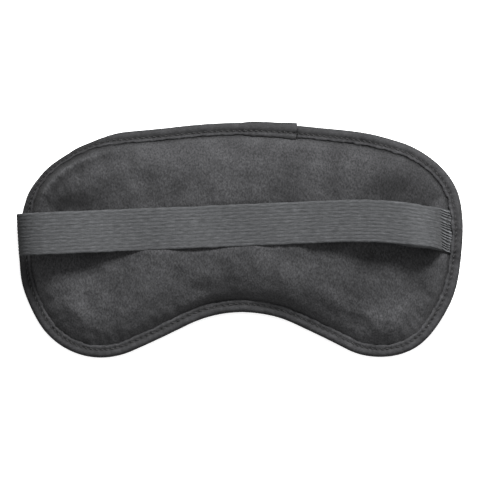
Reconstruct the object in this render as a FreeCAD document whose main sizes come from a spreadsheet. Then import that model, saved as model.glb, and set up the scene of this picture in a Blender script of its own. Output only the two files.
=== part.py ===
"""Contoured eye pillow with an elastic head strap, lying face side up.

Lengths are in millimetres.  +X runs from the wearer's left lobe to the right one, +Y towards the
forehead, +Z away from the surface that the pillow lies on.  The origin is on that surface, below the
middle of the outline.
"""
import math
import os

import FreeCAD
import Part
import Sketcher

Vector = FreeCAD.Vector

# ---------------------------------------------------------------- driving dimensions
DIMENSIONS = {
    # outline of the pillow: tangent arcs, mirrored about the Y axis
    "corner_x": 68.3,
    "corner_y": 10.3,
    "corner_bend": 37.1,
    "lobe_x": 66.1,
    "lobe_y": -21.5,
    "lobe_bend": 34.0,
    "side_bend": 81.5,
    "brow_bend": 323.7,
    "nose_y": -91.7,
    "nose_bend": 58.0,
    # heights, measured from the plane where the two panels meet
    "seam_height": 7.0,
    "crown_height": 9.0,
    "belly_depth": 7.0,
    # how the padded dome rises: distance in from the outline, and share of the full height
    "foot_inset": 8.2,
    "wall_inset": 11.5,
    "shoulder_inset": 16.5,
    "slope_inset": 22.5,
    "top_inset": 29.0,
    "wall_share": 0.333,
    "shoulder_share": 0.667,
    "slope_share": 0.889,
    # how far an inner section of the dome follows the cloth's depth: part of the depth at its wall
    # and part of the depth at its top
    "wall_top_part": 0.6,
    "shoulder_wall_part": 0.55,
    "shoulder_top_part": 0.9,
    "slope_wall_part": 0.25,
    # cloth
    "panel_cloth": 0.8,
    "tape_cloth": 0.6,
    "tape_width": 5.6,
    "pouch_cloth": 0.3,
    "pouch_gap": 0.55,
    "pouch_seam": 2.8,
    "fill_gap": 0.15,
    "lap_start": 2.5,
    "lap_end": 27.3,
    # thread
    "stitch_pitch": 2.75,
    "stitch_length": 2.0,
    "stitch_inset": 3.8,
    "thread_width": 0.45,
    "thread_height": 0.25,
    "pouch_stitch_inset": 11.0,
    "pouch_thread_height": 0.15,
    "stitch_margin": 1.0,
    # elastic strap: its section, and its plan as a straight run and two bends
    "strap_width": 20.0,
    "strap_cloth": 1.2,
    "band_slope": 2.4,
    "band_centre_x": 54.6,
    "band_centre_y": -210.8,
    "band_bend": 220.0,
    "band_end_centre_x": 68.5,
    "band_end_bend": 120.0,
    # elastic strap: the block that its plan is cut from, wider and longer than any strap piece
    "plan_left": -125.0,
    "plan_right": 115.0,
    "plan_margin": 10.0,
    "plan_half": 60.0,
    "plan_depth": 100.0,
    # elastic strap: its side view, heights above the seam plane to the middle of the cloth
    "touch_left": -43.0,
    "touch_right": 24.0,
    "touch_height": 9.9,
    "sag_bend": 80.0,
    "right_arch": 17.1,
    "right_crest_bend": 40.0,
    "right_drop_x": 82.2,
    "right_drop_bend": 12.0,
    "right_root_x": 99.0,
    "right_root_bend": 2.0,
    "right_root_end": 104.6,
    "left_arch": 15.3,
    "left_crest_bend": 60.0,
    "left_drop_x": -94.0,
    "left_drop_bend": 13.0,
    "left_wrap_height": -0.3,
    "left_wrap_bend": 2.0,
    "tail_slope": 12.0,
    "tail_end": -90.5,
    "joint_gap": 0.3,
    # pocket in the tape over the strap's right root
    "cover_inner_x": 100.4,
    "cover_outer_x": 105.2,
    "cover_low_y": -8.8,
    "cover_high_y": 16.0,
    "cover_rim": 0.7,
    "root_slot_x": 99.2,
    "tack_row_gap": 0.7,
}

doc = FreeCAD.newDocument("eye_pillow")
sheet = doc.addObject("Spreadsheet::Sheet", "dims")
for row, (alias, number) in enumerate(DIMENSIONS.items(), start=1):
    sheet.set(f"A{row}", alias)
    sheet.set(f"B{row}", str(number))
    sheet.setAlias(f"B{row}", alias)
doc.recompute()


class Size:
    """A size with its value and the sheet expression that drives it."""

    def __init__(self, value, text):
        self.value = value
        self.text = text

    def __add__(self, other):
        other = as_size(other)
        return Size(self.value + other.value, f"({self.text} + {other.text})")

    def __sub__(self, other):
        other = as_size(other)
        return Size(self.value - other.value, f"({self.text} - {other.text})")

    def __mul__(self, other):
        other = as_size(other)
        return Size(self.value * other.value, f"({self.text} * {other.text})")

    def __truediv__(self, other):
        other = as_size(other)
        return Size(self.value / other.value, f"({self.text} / {other.text})")

    def __neg__(self):
        return Size(-self.value, f"(0 - {self.text})")

    def root(self):
        return Size(math.sqrt(self.value), f"sqrt({self.text})")


def as_size(number):
    return number if isinstance(number, Size) else Size(float(number), repr(float(number)))


def dim(alias):
    return Size(float(sheet.get(alias)), f"dims.{alias}")


NOTHING = as_size(0.0)
WHOLE = as_size(1.0)
corner_x = dim("corner_x")
corner_y = dim("corner_y")
lobe_x = dim("lobe_x")
lobe_y = dim("lobe_y")
nose_y = dim("nose_y")
panel_cloth = dim("panel_cloth")
tape_cloth = dim("tape_cloth")
tape_width = dim("tape_width")
pouch_cloth = dim("pouch_cloth")
half_strap = dim("strap_cloth") / 2
seam_stack = panel_cloth * 2
tape_top = panel_cloth + tape_cloth
brow_y = corner_y - ((dim("brow_bend") - dim("corner_bend")) * (dim("brow_bend") - dim("corner_bend"))
                     - corner_x * corner_x).root()

START = 1
END = 2
CENTRE = 3
ORIGIN = (-1, 1)
Y_AXIS = -2


# ---------------------------------------------------------------- sketch helpers
def new_body(label):
    """A body whose own origin is on the seam plane."""
    body = doc.addObject("PartDesign::Body", label)
    body.Label = label
    body.setExpression("Placement.Base.z", "dims.seam_height")
    return body


def new_sketch(body, name, plane, height=NOTHING):
    sketch = body.newObject("Sketcher::SketchObject", f"{body.Name}_{name}")
    support = [item for item in body.Origin.OriginFeatures if item.Role == plane][0]
    sketch.AttachmentSupport = [(support, "")]
    sketch.MapMode = "FlatFace"
    sketch.AttachmentOffset = FreeCAD.Placement(Vector(0, 0, height.value), FreeCAD.Rotation())
    if height.value:
        sketch.setExpression("AttachmentOffset.Base.z", height.text)
    return sketch


def drive(sketch, name, constraint, size):
    """Add one named constraint and bind it to the sheet."""
    index = sketch.addConstraint(Sketcher.Constraint(*constraint, size.value))
    sketch.renameConstraint(index, name)
    sketch.setExpression(f"Constraints.{name}", size.text)


def place(sketch, name, geometry, point, x=None, y=None):
    """Hold a point of the sketch at x and y from the sketch's origin."""
    if x is not None:
        drive(sketch, f"{name}_x", ("DistanceX", *ORIGIN, geometry, point), x)
    if y is not None:
        drive(sketch, f"{name}_y", ("DistanceY", *ORIGIN, geometry, point), y)


def lean(sketch, name, line, degrees):
    """Hold a line at an angle to the sketch's X axis; the sheet and the constraint's datum are in degrees."""
    index = sketch.addConstraint(Sketcher.Constraint("Angle", line, math.radians(degrees.value)))
    sketch.renameConstraint(index, name)
    sketch.setExpression(f"Constraints.{name}", degrees.text)


def arc(centre, radius, first, last):
    """An arc that runs anticlockwise from the direction of one point to that of another."""
    start = math.atan2(first.y - centre.y, first.x - centre.x)
    finish = math.atan2(last.y - centre.y, last.x - centre.x)
    if finish < start:
        finish += 2 * math.pi
    return Part.ArcOfCircle(Part.Circle(centre, Vector(0, 0, 1), radius), start, finish)


def toward(origin, target, distance):
    """The point at a distance from one point in the direction of another."""
    return origin + (target - origin).normalize() * distance


def mirrored(point):
    """The same point on the other side of the Y axis."""
    return Vector(-point.x, point.y, point.z)


def join(sketch, kind, first, second):
    sketch.addConstraint(Sketcher.Constraint(kind, *first, *second))


def close(sketch):
    """Solve the sketch and make sure that nothing in it is left free."""
    if sketch.solve() != 0:
        raise RuntimeError(f"{sketch.Name} does not solve")
    doc.recompute()
    if not sketch.FullyConstrained:
        raise RuntimeError(f"{sketch.Name} is not fully constrained")


def rectangle(sketch, left, right, low, high):
    corners = [Vector(left.value, low.value, 0), Vector(right.value, low.value, 0),
               Vector(right.value, high.value, 0), Vector(left.value, high.value, 0)]
    first = sketch.GeometryCount
    for index in range(4):
        sketch.addGeometry(Part.LineSegment(corners[index], corners[(index + 1) % 4]), False)
    for index in range(4):
        join(sketch, "Coincident", (first + index, END), (first + (index + 1) % 4, START))
    for index in (0, 2):
        sketch.addConstraint(Sketcher.Constraint("Horizontal", first + index))
    for index in (1, 3):
        sketch.addConstraint(Sketcher.Constraint("Vertical", first + index))
    place(sketch, f"low_{first}", first, START, left, low)
    place(sketch, f"high_{first}", first + 2, START, right, high)


# ---------------------------------------------------------------- the pillow's outline
def outline_points(inset):
    """Arc centres, radii and tangent points of the right half, a distance in from the edge."""
    radius = {"corner": dim("corner_bend").value - inset,
              "lobe": dim("lobe_bend").value - inset,
              "side": dim("side_bend").value - inset,
              "brow": dim("brow_bend").value - inset,
              "nose": dim("nose_bend").value + inset}
    corner = Vector(corner_x.value, corner_y.value, 0)
    lobe = Vector(lobe_x.value, lobe_y.value, 0)
    nose = Vector(0, nose_y.value, 0)
    brow = Vector(0, brow_y.value, 0)
    # the side arc's centre is at known distances from the corner's centre and the lobe's centre
    to_corner = radius["side"] - radius["corner"]
    to_lobe = radius["side"] - radius["lobe"]
    span = lobe - corner
    along = (to_corner ** 2 - to_lobe ** 2 + span.Length ** 2) / (2 * span.Length)
    across = math.sqrt(to_corner ** 2 - along ** 2)
    direction = Vector(span).normalize()
    side = corner + direction * along + Vector(direction.y, -direction.x, 0) * across
    # the straight flank touches the lobe on one side and the nose arc on the other
    reach = nose - lobe
    turn = math.acos((radius["lobe"] + radius["nose"]) / reach.Length)
    angle = math.atan2(reach.y, reach.x) + turn
    normal = Vector(math.cos(angle), math.sin(angle), 0)
    return {"radius": radius, "corner": corner, "lobe": lobe, "nose": nose, "brow": brow, "side": side,
            "brow_corner": toward(brow, corner, radius["brow"]),
            "corner_side": toward(side, corner, radius["side"]),
            "side_lobe": toward(side, lobe, radius["side"]),
            "lobe_flank": lobe + normal * radius["lobe"],
            "flank_nose": nose - normal * radius["nose"]}


def outline_edges(inset):
    """The whole outline as ten tangent edges, anticlockwise from the brow."""
    at = outline_points(inset)
    radius = at["radius"]
    edges = [arc(at["brow"], radius["brow"], at["brow_corner"], mirrored(at["brow_corner"])),
             arc(mirrored(at["corner"]), radius["corner"], mirrored(at["brow_corner"]),
                 mirrored(at["corner_side"])),
             arc(mirrored(at["side"]), radius["side"], mirrored(at["corner_side"]),
                 mirrored(at["side_lobe"])),
             arc(mirrored(at["lobe"]), radius["lobe"], mirrored(at["side_lobe"]),
                 mirrored(at["lobe_flank"])),
             Part.LineSegment(mirrored(at["lobe_flank"]), mirrored(at["flank_nose"])),
             arc(at["nose"], radius["nose"], at["flank_nose"], mirrored(at["flank_nose"])),
             Part.LineSegment(at["flank_nose"], at["lobe_flank"]),
             arc(at["lobe"], radius["lobe"], at["lobe_flank"], at["side_lobe"]),
             arc(at["side"], radius["side"], at["side_lobe"], at["corner_side"]),
             arc(at["corner"], radius["corner"], at["corner_side"], at["brow_corner"])]
    return edges


def outline_sketch(body, name, inset, height=NOTHING):
    """The pillow's outline, a distance in from the edge, at a height over the seam plane."""
    sketch = new_sketch(body, name, "XY_Plane", height)
    sketch.addGeometry(outline_edges(inset.value), False)
    brow, corner_left, side_left, lobe_left, flank_left = 0, 1, 2, 3, 4
    nose, flank_right, lobe_right, side_right, corner_right = 5, 6, 7, 8, 9
    count = corner_right + 1
    for index in range(count):
        # the nose arc is the only one that is walked against its own direction
        finish = START if index == nose else END
        following = (index + 1) % count
        begin = END if following == nose else START
        join(sketch, "Tangent", (index, finish), (following, begin))
    for index, alias in ((brow, "brow"), (corner_left, "corner"), (side_left, "side"),
                         (lobe_left, "lobe"), (lobe_right, "lobe"), (side_right, "side"),
                         (corner_right, "corner")):
        drive(sketch, f"bend_{index}", ("Radius", index), dim(f"{alias}_bend") - inset)
    drive(sketch, f"bend_{nose}", ("Radius", nose), dim("nose_bend") + inset)
    place(sketch, "corner_left", corner_left, CENTRE, -corner_x, corner_y)
    place(sketch, "corner_right", corner_right, CENTRE, corner_x, corner_y)
    place(sketch, "lobe_left", lobe_left, CENTRE, -lobe_x, lobe_y)
    place(sketch, "lobe_right", lobe_right, CENTRE, lobe_x, lobe_y)
    sketch.addConstraint(Sketcher.Constraint("PointOnObject", nose, CENTRE, Y_AXIS))
    place(sketch, "nose", nose, CENTRE, None, nose_y)
    close(sketch)
    return sketch


# ---------------------------------------------------------------- solid features
def pad(body, sketch, name, length, side="One side", downward=False):
    feature = body.newObject("PartDesign::Pad", f"{body.Name}_{name}")
    feature.Profile = sketch
    feature.SideType = side
    feature.Reversed = downward
    feature.Length = length.value
    feature.setExpression("Length", length.text)
    doc.recompute()
    return feature


def pocket(body, sketch, name, length):
    """Cut to half of the length on each side of the sketch."""
    before = body.Shape.Volume
    feature = body.newObject("PartDesign::Pocket", f"{body.Name}_{name}")
    feature.Profile = sketch
    feature.SideType = "Symmetric"
    feature.Length = length.value
    feature.setExpression("Length", length.text)
    doc.recompute()
    if not body.Shape.Volume < before:
        raise RuntimeError(f"{feature.Name} cuts nothing")
    return feature


def loft(body, kind, name, sketches):
    feature = body.newObject(f"PartDesign::{kind}", f"{body.Name}_{name}")
    feature.Profile = sketches[0]
    feature.Sections = sketches[1:]
    feature.Ruled = False
    doc.recompute()
    return feature


def dome_sketches(body, name, upward, wall_depth, top_depth):
    """Sections of the padded dome, moved in at the wall and down at the top by the two depths."""
    full = dim("crown_height") if upward else dim("belly_depth")
    levels = ((dim("foot_inset"), NOTHING, WHOLE, NOTHING),
              (dim("wall_inset"), dim("wall_share"), WHOLE, dim("wall_top_part")),
              (dim("shoulder_inset"), dim("shoulder_share"), dim("shoulder_wall_part"),
               dim("shoulder_top_part")),
              (dim("slope_inset"), dim("slope_share"), dim("slope_wall_part"), WHOLE),
              (dim("top_inset"), WHOLE, NOTHING, WHOLE))
    sketches = []
    for index, (inset, share, wall_part, top_part) in enumerate(levels):
        height = full * share - top_depth * top_part
        if not upward:
            height = -height
        sketches.append(outline_sketch(body, f"{name}_{index}", inset + wall_depth * wall_part, height))
    return sketches


def sewn_shell(label, upward, edge_inset, cloth, wall_depth, top_depth):
    """One cloth panel: a flat seam allowance round a hollow dome."""
    body = new_body(label)
    edge = outline_sketch(body, "edge", edge_inset)
    pad(body, edge, "allowance", cloth, downward=not upward)
    loft(body, "AdditiveLoft", "dome", dome_sketches(body, "outer", upward, wall_depth, top_depth))
    loft(body, "SubtractiveLoft", "hollow",
         dome_sketches(body, "inner", upward, wall_depth + cloth, top_depth + cloth))
    return body


# ---------------------------------------------------------------- cloth, pouch and fill
def make_soft_parts():
    """The two outer panels, the two layers of the pouch and the fill inside it."""
    sewn_shell("face_panel", True, tape_cloth, panel_cloth, NOTHING, NOTHING)
    sewn_shell("front_panel", False, tape_cloth, panel_cloth, NOTHING, NOTHING)
    pouch_edge = dim("foot_inset") + panel_cloth + dim("pouch_gap")
    wall_depth = panel_cloth + dim("pouch_gap") + dim("pouch_seam")
    top_depth = panel_cloth + dim("pouch_gap")
    sewn_shell("inner_pouch_face", True, pouch_edge, pouch_cloth, wall_depth, top_depth)
    sewn_shell("inner_pouch_front", False, pouch_edge, pouch_cloth, wall_depth, top_depth)
    fill = new_body("seed_fill")
    inside = pouch_cloth + dim("fill_gap")
    for name, upward in (("crown", True), ("belly", False)):
        sections = dome_sketches(fill, name, upward, wall_depth + inside, top_depth + inside)
        loft(fill, "AdditiveLoft", f"{name}_half", sections)


# ---------------------------------------------------------------- edge binding
def lap_sketch(body):
    """The sector that the tape's free end covers, with the same centre as the brow."""
    outer = dim("brow_bend") + tape_cloth
    inner = dim("brow_bend") - tape_width - tape_cloth
    centre = Vector(0, brow_y.value, 0)

    def at(radius, x):
        return Vector(x.value, brow_y.value + math.sqrt(radius.value ** 2 - x.value ** 2), 0)

    start, finish = dim("lap_start"), dim("lap_end")
    sketch = new_sketch(body, "lap", "XY_Plane")
    sketch.addGeometry([arc(centre, outer.value, at(outer, finish), at(outer, start)),
                        Part.LineSegment(at(outer, start), at(inner, start)),
                        arc(centre, inner.value, at(inner, finish), at(inner, start)),
                        Part.LineSegment(at(inner, finish), at(outer, finish))], False)
    join(sketch, "Coincident", (0, END), (1, START))
    join(sketch, "Coincident", (1, END), (2, END))
    join(sketch, "Coincident", (2, START), (3, START))
    join(sketch, "Coincident", (3, END), (0, START))
    join(sketch, "Coincident", (0, CENTRE), (2, CENTRE))
    sketch.addConstraint(Sketcher.Constraint("Vertical", 1))
    sketch.addConstraint(Sketcher.Constraint("Vertical", 3))
    sketch.addConstraint(Sketcher.Constraint("PointOnObject", 0, CENTRE, Y_AXIS))
    place(sketch, "centre", 0, CENTRE, None, brow_y)
    place(sketch, "start", 1, START, start)
    place(sketch, "finish", 3, START, finish)
    drive(sketch, "outer", ("Radius", 0), outer)
    drive(sketch, "inner", ("Radius", 2), inner)
    close(sketch)
    return sketch


def rim_edges(feature, height):
    """Names of a feature's edges that lie flat at a height over or under the seam plane."""
    names = []
    for index, edge in enumerate(feature.Shape.Edges, start=1):
        box = edge.BoundBox
        if box.ZLength < 0.001 and abs(abs(box.ZMin) - height) < 0.001:
            names.append(f"Edge{index}")
    return names


def make_binding():
    """A tape folded over the panels' edges, with its free end lapped at the brow."""
    body = new_body("edge_binding")
    both_sides = 2
    fold = pad(body, outline_sketch(body, "edge", NOTHING), "fold", tape_top * both_sides, "Symmetric")
    rounding = body.newObject("PartDesign::Fillet", "edge_binding_rim")
    rounding.Base = (fold, rim_edges(fold, tape_top.value))
    rounding.Radius = tape_cloth.value
    rounding.setExpression("Radius", tape_cloth.text)
    doc.recompute()
    pad(body, lap_sketch(body), "lapped_end", (tape_top + tape_cloth) * both_sides, "Symmetric")
    cover_top = panel_cloth + dim("strap_cloth") + tape_cloth
    cover = new_sketch(body, "cover", "XY_Plane")
    rectangle(cover, dim("cover_inner_x"), dim("cover_outer_x"), dim("cover_low_y"), dim("cover_high_y"))
    close(cover)
    pad(body, cover, "root_cover", cover_top)
    mouth = outline_sketch(body, "mouth", tape_width)
    pocket(body, mouth, "opening", (cover_top + tape_top) * both_sides)
    slot = outline_sketch(body, "slot", tape_cloth)
    pocket(body, slot, "seam_slot", seam_stack)
    rim = dim("cover_rim")
    root = new_sketch(body, "root", "XY_Plane", panel_cloth)
    rectangle(root, dim("root_slot_x"), dim("right_root_end"), dim("cover_low_y") + rim,
              dim("cover_high_y") - rim)
    close(root)
    pocket(body, root, "root_slot", dim("strap_cloth") * both_sides)


# ---------------------------------------------------------------- elastic strap
def band_line():
    """The slope of the band's straight run, and the centres of its two bends."""
    slope = math.radians(dim("band_slope").value)
    centre = Vector(dim("band_centre_x").value, dim("band_centre_y").value, 0)
    step = dim("band_bend").value - dim("band_end_bend").value
    shift = dim("band_end_centre_x").value - centre.x
    end_centre = centre + Vector(shift, math.sqrt(step ** 2 - shift ** 2), 0)
    return slope, centre, end_centre


def band_plan(body):
    """Cut a strap piece to its plan: everything outside the bowed band is taken away."""
    half = dim("strap_width") / 2
    slope, centre, end_centre = band_line()
    left = dim("plan_left")
    right = dim("plan_right")
    margin = dim("plan_margin")
    sketch = new_sketch(body, "plan", "XY_Plane")
    rectangle(sketch, left - margin, right + margin, -dim("plan_half"), dim("plan_half"))
    ends = []
    for name, offset in (("upper", half), ("lower", -half)):
        bend = dim("band_bend") + offset
        end_bend = dim("band_end_bend") + offset
        leave = centre + Vector(-math.sin(slope), math.cos(slope), 0) * bend.value
        turn = toward(centre, end_centre, bend.value)
        start = leave - Vector(leave.x - left.value, (leave.x - left.value) * math.tan(slope), 0)
        drop = right.value - end_centre.x
        finish = end_centre + Vector(drop, math.sqrt(end_bend.value ** 2 - drop ** 2), 0)
        line = sketch.addGeometry(Part.LineSegment(start, leave), False)
        first = sketch.addGeometry(arc(centre, bend.value, turn, leave), False)
        second = sketch.addGeometry(arc(end_centre, end_bend.value, finish, turn), False)
        join(sketch, "Tangent", (line, END), (first, END))
        join(sketch, "Tangent", (first, START), (second, END))
        drive(sketch, f"{name}_bend", ("Radius", first), bend)
        drive(sketch, f"{name}_end_bend", ("Radius", second), end_bend)
        place(sketch, f"{name}_centre", first, CENTRE, dim("band_centre_x"), dim("band_centre_y"))
        place(sketch, f"{name}_end_centre", second, CENTRE, dim("band_end_centre_x"))
        place(sketch, f"{name}_start", line, START, left)
        place(sketch, f"{name}_finish", second, START, right)
        lean(sketch, f"{name}_slope", line, dim("band_slope"))
        ends.append((line, second))
    for upper, lower in zip(*ends):
        points = [sketch.getPoint(upper, START), sketch.getPoint(lower, START)]
        cap = sketch.addGeometry(Part.LineSegment(*points), False)
        join(sketch, "Coincident", (cap, START), (upper, START))
        join(sketch, "Coincident", (cap, END), (lower, START))
    close(sketch)
    pocket(body, sketch, "band", dim("plan_depth"))


def ribbon(label, sides):
    """Pad a strap piece from its side view and cut it to the band's plan."""
    body = new_body(label)
    sketch = new_sketch(body, "side", "XZ_Plane")
    sides(sketch)
    close(sketch)
    pad(body, sketch, "ribbon", dim("plan_half"), "Symmetric")
    band_plan(body)


def cap_ends(sketch, upper, lower):
    """Close a side view with a line at each end of its upper and lower runs."""
    for (top, top_point), (low, low_point) in zip(upper, lower):
        line = Part.LineSegment(sketch.getPoint(top, top_point), sketch.getPoint(low, low_point))
        cap = sketch.addGeometry(line, False)
        join(sketch, "Coincident", (cap, START), (top, top_point))
        join(sketch, "Coincident", (cap, END), (low, low_point))


def span_sides(sketch):
    """The middle of the strap: it rests on the crown and arches up to both sides."""
    upper, lower = [], []
    for name, offset in (("upper", half_strap), ("lower", -half_strap)):
        runs = {}
        for side, touch, arch, crest_bend, far in (
                ("right", dim("touch_right"), dim("right_arch"), dim("right_crest_bend"),
                 dim("right_drop_x") - dim("joint_gap")),
                ("left", dim("touch_left"), dim("left_arch"), dim("left_crest_bend"),
                 dim("left_drop_x") + dim("joint_gap"))):
            way = 1 if side == "right" else -1
            low, high = dim("touch_height") + offset, arch + offset
            sag, crest = dim("sag_bend") - offset, crest_bend + offset
            swing = math.acos(1 - (high.value - low.value) / (sag.value + crest.value))
            sag_centre = Vector(touch.value, low.value + sag.value, 0)
            crest_centre = sag_centre + Vector(way * math.sin(swing), -math.cos(swing), 0) * (
                sag.value + crest.value)
            touch_point = Vector(touch.value, low.value, 0)
            middle = toward(sag_centre, crest_centre, sag.value)
            top = Vector(crest_centre.x, high.value, 0)
            far_point = Vector(far.value, high.value, 0)
            if side == "right":
                sag_arc = sketch.addGeometry(arc(sag_centre, sag.value, touch_point, middle), False)
                crest_arc = sketch.addGeometry(arc(crest_centre, crest.value, top, middle), False)
                near, away, begin, finish = START, END, END, START
            else:
                sag_arc = sketch.addGeometry(arc(sag_centre, sag.value, middle, touch_point), False)
                crest_arc = sketch.addGeometry(arc(crest_centre, crest.value, middle, top), False)
                near, away, begin, finish = END, START, START, END
            flat = sketch.addGeometry(Part.LineSegment(top, far_point), False)
            join(sketch, "Tangent", (sag_arc, away), (crest_arc, begin))
            join(sketch, "Tangent", (crest_arc, finish), (flat, START))
            drive(sketch, f"{name}_{side}_sag", ("Radius", sag_arc), sag)
            drive(sketch, f"{name}_{side}_crest", ("Radius", crest_arc), crest)
            place(sketch, f"{name}_{side}_touch", sag_arc, near, touch)
            place(sketch, f"{name}_{side}_far", flat, END, far, high)
            sketch.addConstraint(Sketcher.Constraint("Horizontal", flat))
            runs[side] = (sag_arc, near, flat, touch_point)
        rest = sketch.addGeometry(Part.LineSegment(runs["left"][3], runs["right"][3]), False)
        join(sketch, "Tangent", (rest, START), runs["left"][:2])
        join(sketch, "Tangent", (rest, END), runs["right"][:2])
        place(sketch, f"{name}_rest", rest, START, None, dim("touch_height") + offset)
        sketch.addConstraint(Sketcher.Constraint("Horizontal", rest))
        ends = upper if name == "upper" else lower
        ends.extend([(runs["left"][2], END), (runs["right"][2], END)])
    cap_ends(sketch, upper, lower)


def right_rise_sides(sketch):
    """The strap's right end: over a tight crest and steeply down to its root."""
    upper, lower = [], []
    for name, offset in (("upper", half_strap), ("lower", -half_strap)):
        crest = dim("right_drop_bend") + offset
        foot = dim("right_root_bend") - offset
        crest_centre = Vector(dim("right_drop_x").value, dim("right_arch").value
                              - dim("right_drop_bend").value, 0)
        foot_height = panel_cloth + half_strap + dim("right_root_bend")
        foot_centre = Vector(dim("right_root_x").value, foot_height.value, 0)
        between = foot_centre - crest_centre
        turn = math.acos((crest.value + foot.value) / between.Length)
        angle = math.atan2(between.y, between.x) + turn
        normal = Vector(math.cos(angle), math.sin(angle), 0)
        leave = crest_centre + normal * crest.value
        arrive = foot_centre - normal * foot.value
        top = crest_centre + Vector(0, crest.value, 0)
        bottom = foot_centre - Vector(0, foot.value, 0)
        crest_arc = sketch.addGeometry(arc(crest_centre, crest.value, leave, top), False)
        slope = sketch.addGeometry(Part.LineSegment(leave, arrive), False)
        foot_arc = sketch.addGeometry(arc(foot_centre, foot.value, arrive, bottom), False)
        join(sketch, "Tangent", (crest_arc, START), (slope, START))
        join(sketch, "Tangent", (slope, END), (foot_arc, START))
        drive(sketch, f"{name}_crest", ("Radius", crest_arc), crest)
        drive(sketch, f"{name}_foot", ("Radius", foot_arc), foot)
        place(sketch, f"{name}_crest_centre", crest_arc, CENTRE, dim("right_drop_x"),
              dim("right_arch") - dim("right_drop_bend"))
        place(sketch, f"{name}_foot_centre", foot_arc, CENTRE, dim("right_root_x"), foot_height)
        place(sketch, f"{name}_top", crest_arc, END, dim("right_drop_x"))
        place(sketch, f"{name}_bottom", foot_arc, END, dim("right_root_x"))
        ends = upper if name == "upper" else lower
        ends.extend([(crest_arc, END), (foot_arc, END)])
    cap_ends(sketch, upper, lower)


def right_root_sides(sketch):
    """The strap's right root, flat on the seam allowance and under the tape."""
    rectangle(sketch, dim("right_root_x"), dim("right_root_end"), panel_cloth,
              panel_cloth + dim("strap_cloth"))


def left_fall_sides(sketch):
    """The strap's left end: a quarter turn down past the pillow's edge."""
    upper, lower = [], []
    for name, offset in (("upper", half_strap), ("lower", -half_strap)):
        bend = dim("left_drop_bend") + offset
        drop_x = dim("left_drop_x")
        centre_height = dim("left_arch") - dim("left_drop_bend")
        centre = Vector(drop_x.value, centre_height.value, 0)
        top = centre + Vector(0, bend.value, 0)
        side = centre - Vector(bend.value, 0, 0)
        foot = Vector(side.x, dim("left_wrap_height").value, 0)
        turn = sketch.addGeometry(arc(centre, bend.value, top, side), False)
        fall = sketch.addGeometry(Part.LineSegment(side, foot), False)
        join(sketch, "Tangent", (turn, END), (fall, START))
        drive(sketch, f"{name}_bend", ("Radius", turn), bend)
        place(sketch, f"{name}_centre", turn, CENTRE, drop_x, centre_height)
        place(sketch, f"{name}_top", turn, START, drop_x)
        place(sketch, f"{name}_foot", fall, END, None, dim("left_wrap_height"))
        sketch.addConstraint(Sketcher.Constraint("Vertical", fall))
        ends = upper if name == "upper" else lower
        ends.extend([(turn, START), (fall, END)])
    cap_ends(sketch, upper, lower)


def left_tail_sides(sketch):
    """The strap's hidden end: round under the binding and a short way back along the front."""
    upper, lower = [], []
    slope = math.radians(dim("tail_slope").value)
    for name, offset in (("upper", half_strap), ("lower", -half_strap)):
        bend = dim("left_wrap_bend") + offset
        centre_x = dim("left_drop_x") - dim("left_drop_bend") + dim("left_wrap_bend")
        centre = Vector(centre_x.value, dim("left_wrap_height").value, 0)
        side = centre - Vector(bend.value, 0, 0)
        under = centre - Vector(math.sin(slope), math.cos(slope), 0) * bend.value
        reach = dim("tail_end").value - under.x
        end = under + Vector(reach, -reach * math.tan(slope), 0)
        turn = sketch.addGeometry(arc(centre, bend.value, side, under), False)
        tail = sketch.addGeometry(Part.LineSegment(under, end), False)
        join(sketch, "Tangent", (turn, END), (tail, START))
        drive(sketch, f"{name}_bend", ("Radius", turn), bend)
        place(sketch, f"{name}_centre", turn, CENTRE, centre_x, dim("left_wrap_height"))
        place(sketch, f"{name}_side", turn, START, None, dim("left_wrap_height"))
        place(sketch, f"{name}_end", tail, END, dim("tail_end"))
        lean(sketch, f"{name}_slope", tail, -dim("tail_slope"))
        ends = upper if name == "upper" else lower
        ends.extend([(turn, START), (tail, END)])
    cap_ends(sketch, upper, lower)


def make_strap():
    """One elastic strap, in the lengths that move in different ways."""
    ribbon("strap_span", span_sides)
    ribbon("strap_right_rise", right_rise_sides)
    ribbon("strap_right_root", right_root_sides)
    ribbon("strap_left_fall", left_fall_sides)
    ribbon("strap_left_tail", left_tail_sides)


# ---------------------------------------------------------------- thread
# places along one stitch pitch that a stitch may start or end at
PITCH_STEPS = 20


def stitch(start, finish, width, low, high):
    """One visible stitch: a short bar from one needle hole to the next."""
    run = finish - start
    bar = Part.makeBox(run.Length, width, high - low, Vector(0, -width / 2, low))
    bar.rotate(Vector(0, 0, 0), Vector(0, 0, 1), math.degrees(math.atan2(run.y, run.x)))
    bar.translate(Vector(start.x, start.y, 0))
    return bar


def seam_row(inset, height_at, thread_height, upward):
    """Stitches at an even pitch along the outline, on the surface that height_at gives."""
    wire = Part.Wire([edge.toShape() for edge in outline_edges(inset.value)])
    pitch = dim("stitch_pitch").value
    count = round(wire.Length / pitch)
    share = dim("stitch_length").value / pitch
    points = wire.discretize(Number=count * PITCH_STEPS + 1)
    reach = round(share * PITCH_STEPS)
    bars = []
    for first in range(0, count * PITCH_STEPS, PITCH_STEPS):
        start, finish = points[first], points[first + reach]
        surface = height_at((start + finish) * 0.5)
        low, high = (surface, surface + thread_height) if upward else (-surface - thread_height, -surface)
        bars.append(stitch(start, finish, dim("thread_width").value, low, high))
    return bars


def across_row(x, centre_y, low):
    """Stitches across the strap at one place along it."""
    pitch = dim("stitch_pitch").value
    reach = dim("strap_width").value / 2
    count = int(2 * reach / pitch)
    first = centre_y - count * pitch / 2 + (pitch - dim("stitch_length").value) / 2
    bars = []
    for index in range(count):
        start = Vector(x, first + index * pitch, 0)
        finish = start + Vector(0, dim("stitch_length").value, 0)
        bars.append(stitch(start, finish, dim("thread_width").value, low, low + dim("thread_height").value))
    return bars


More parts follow.
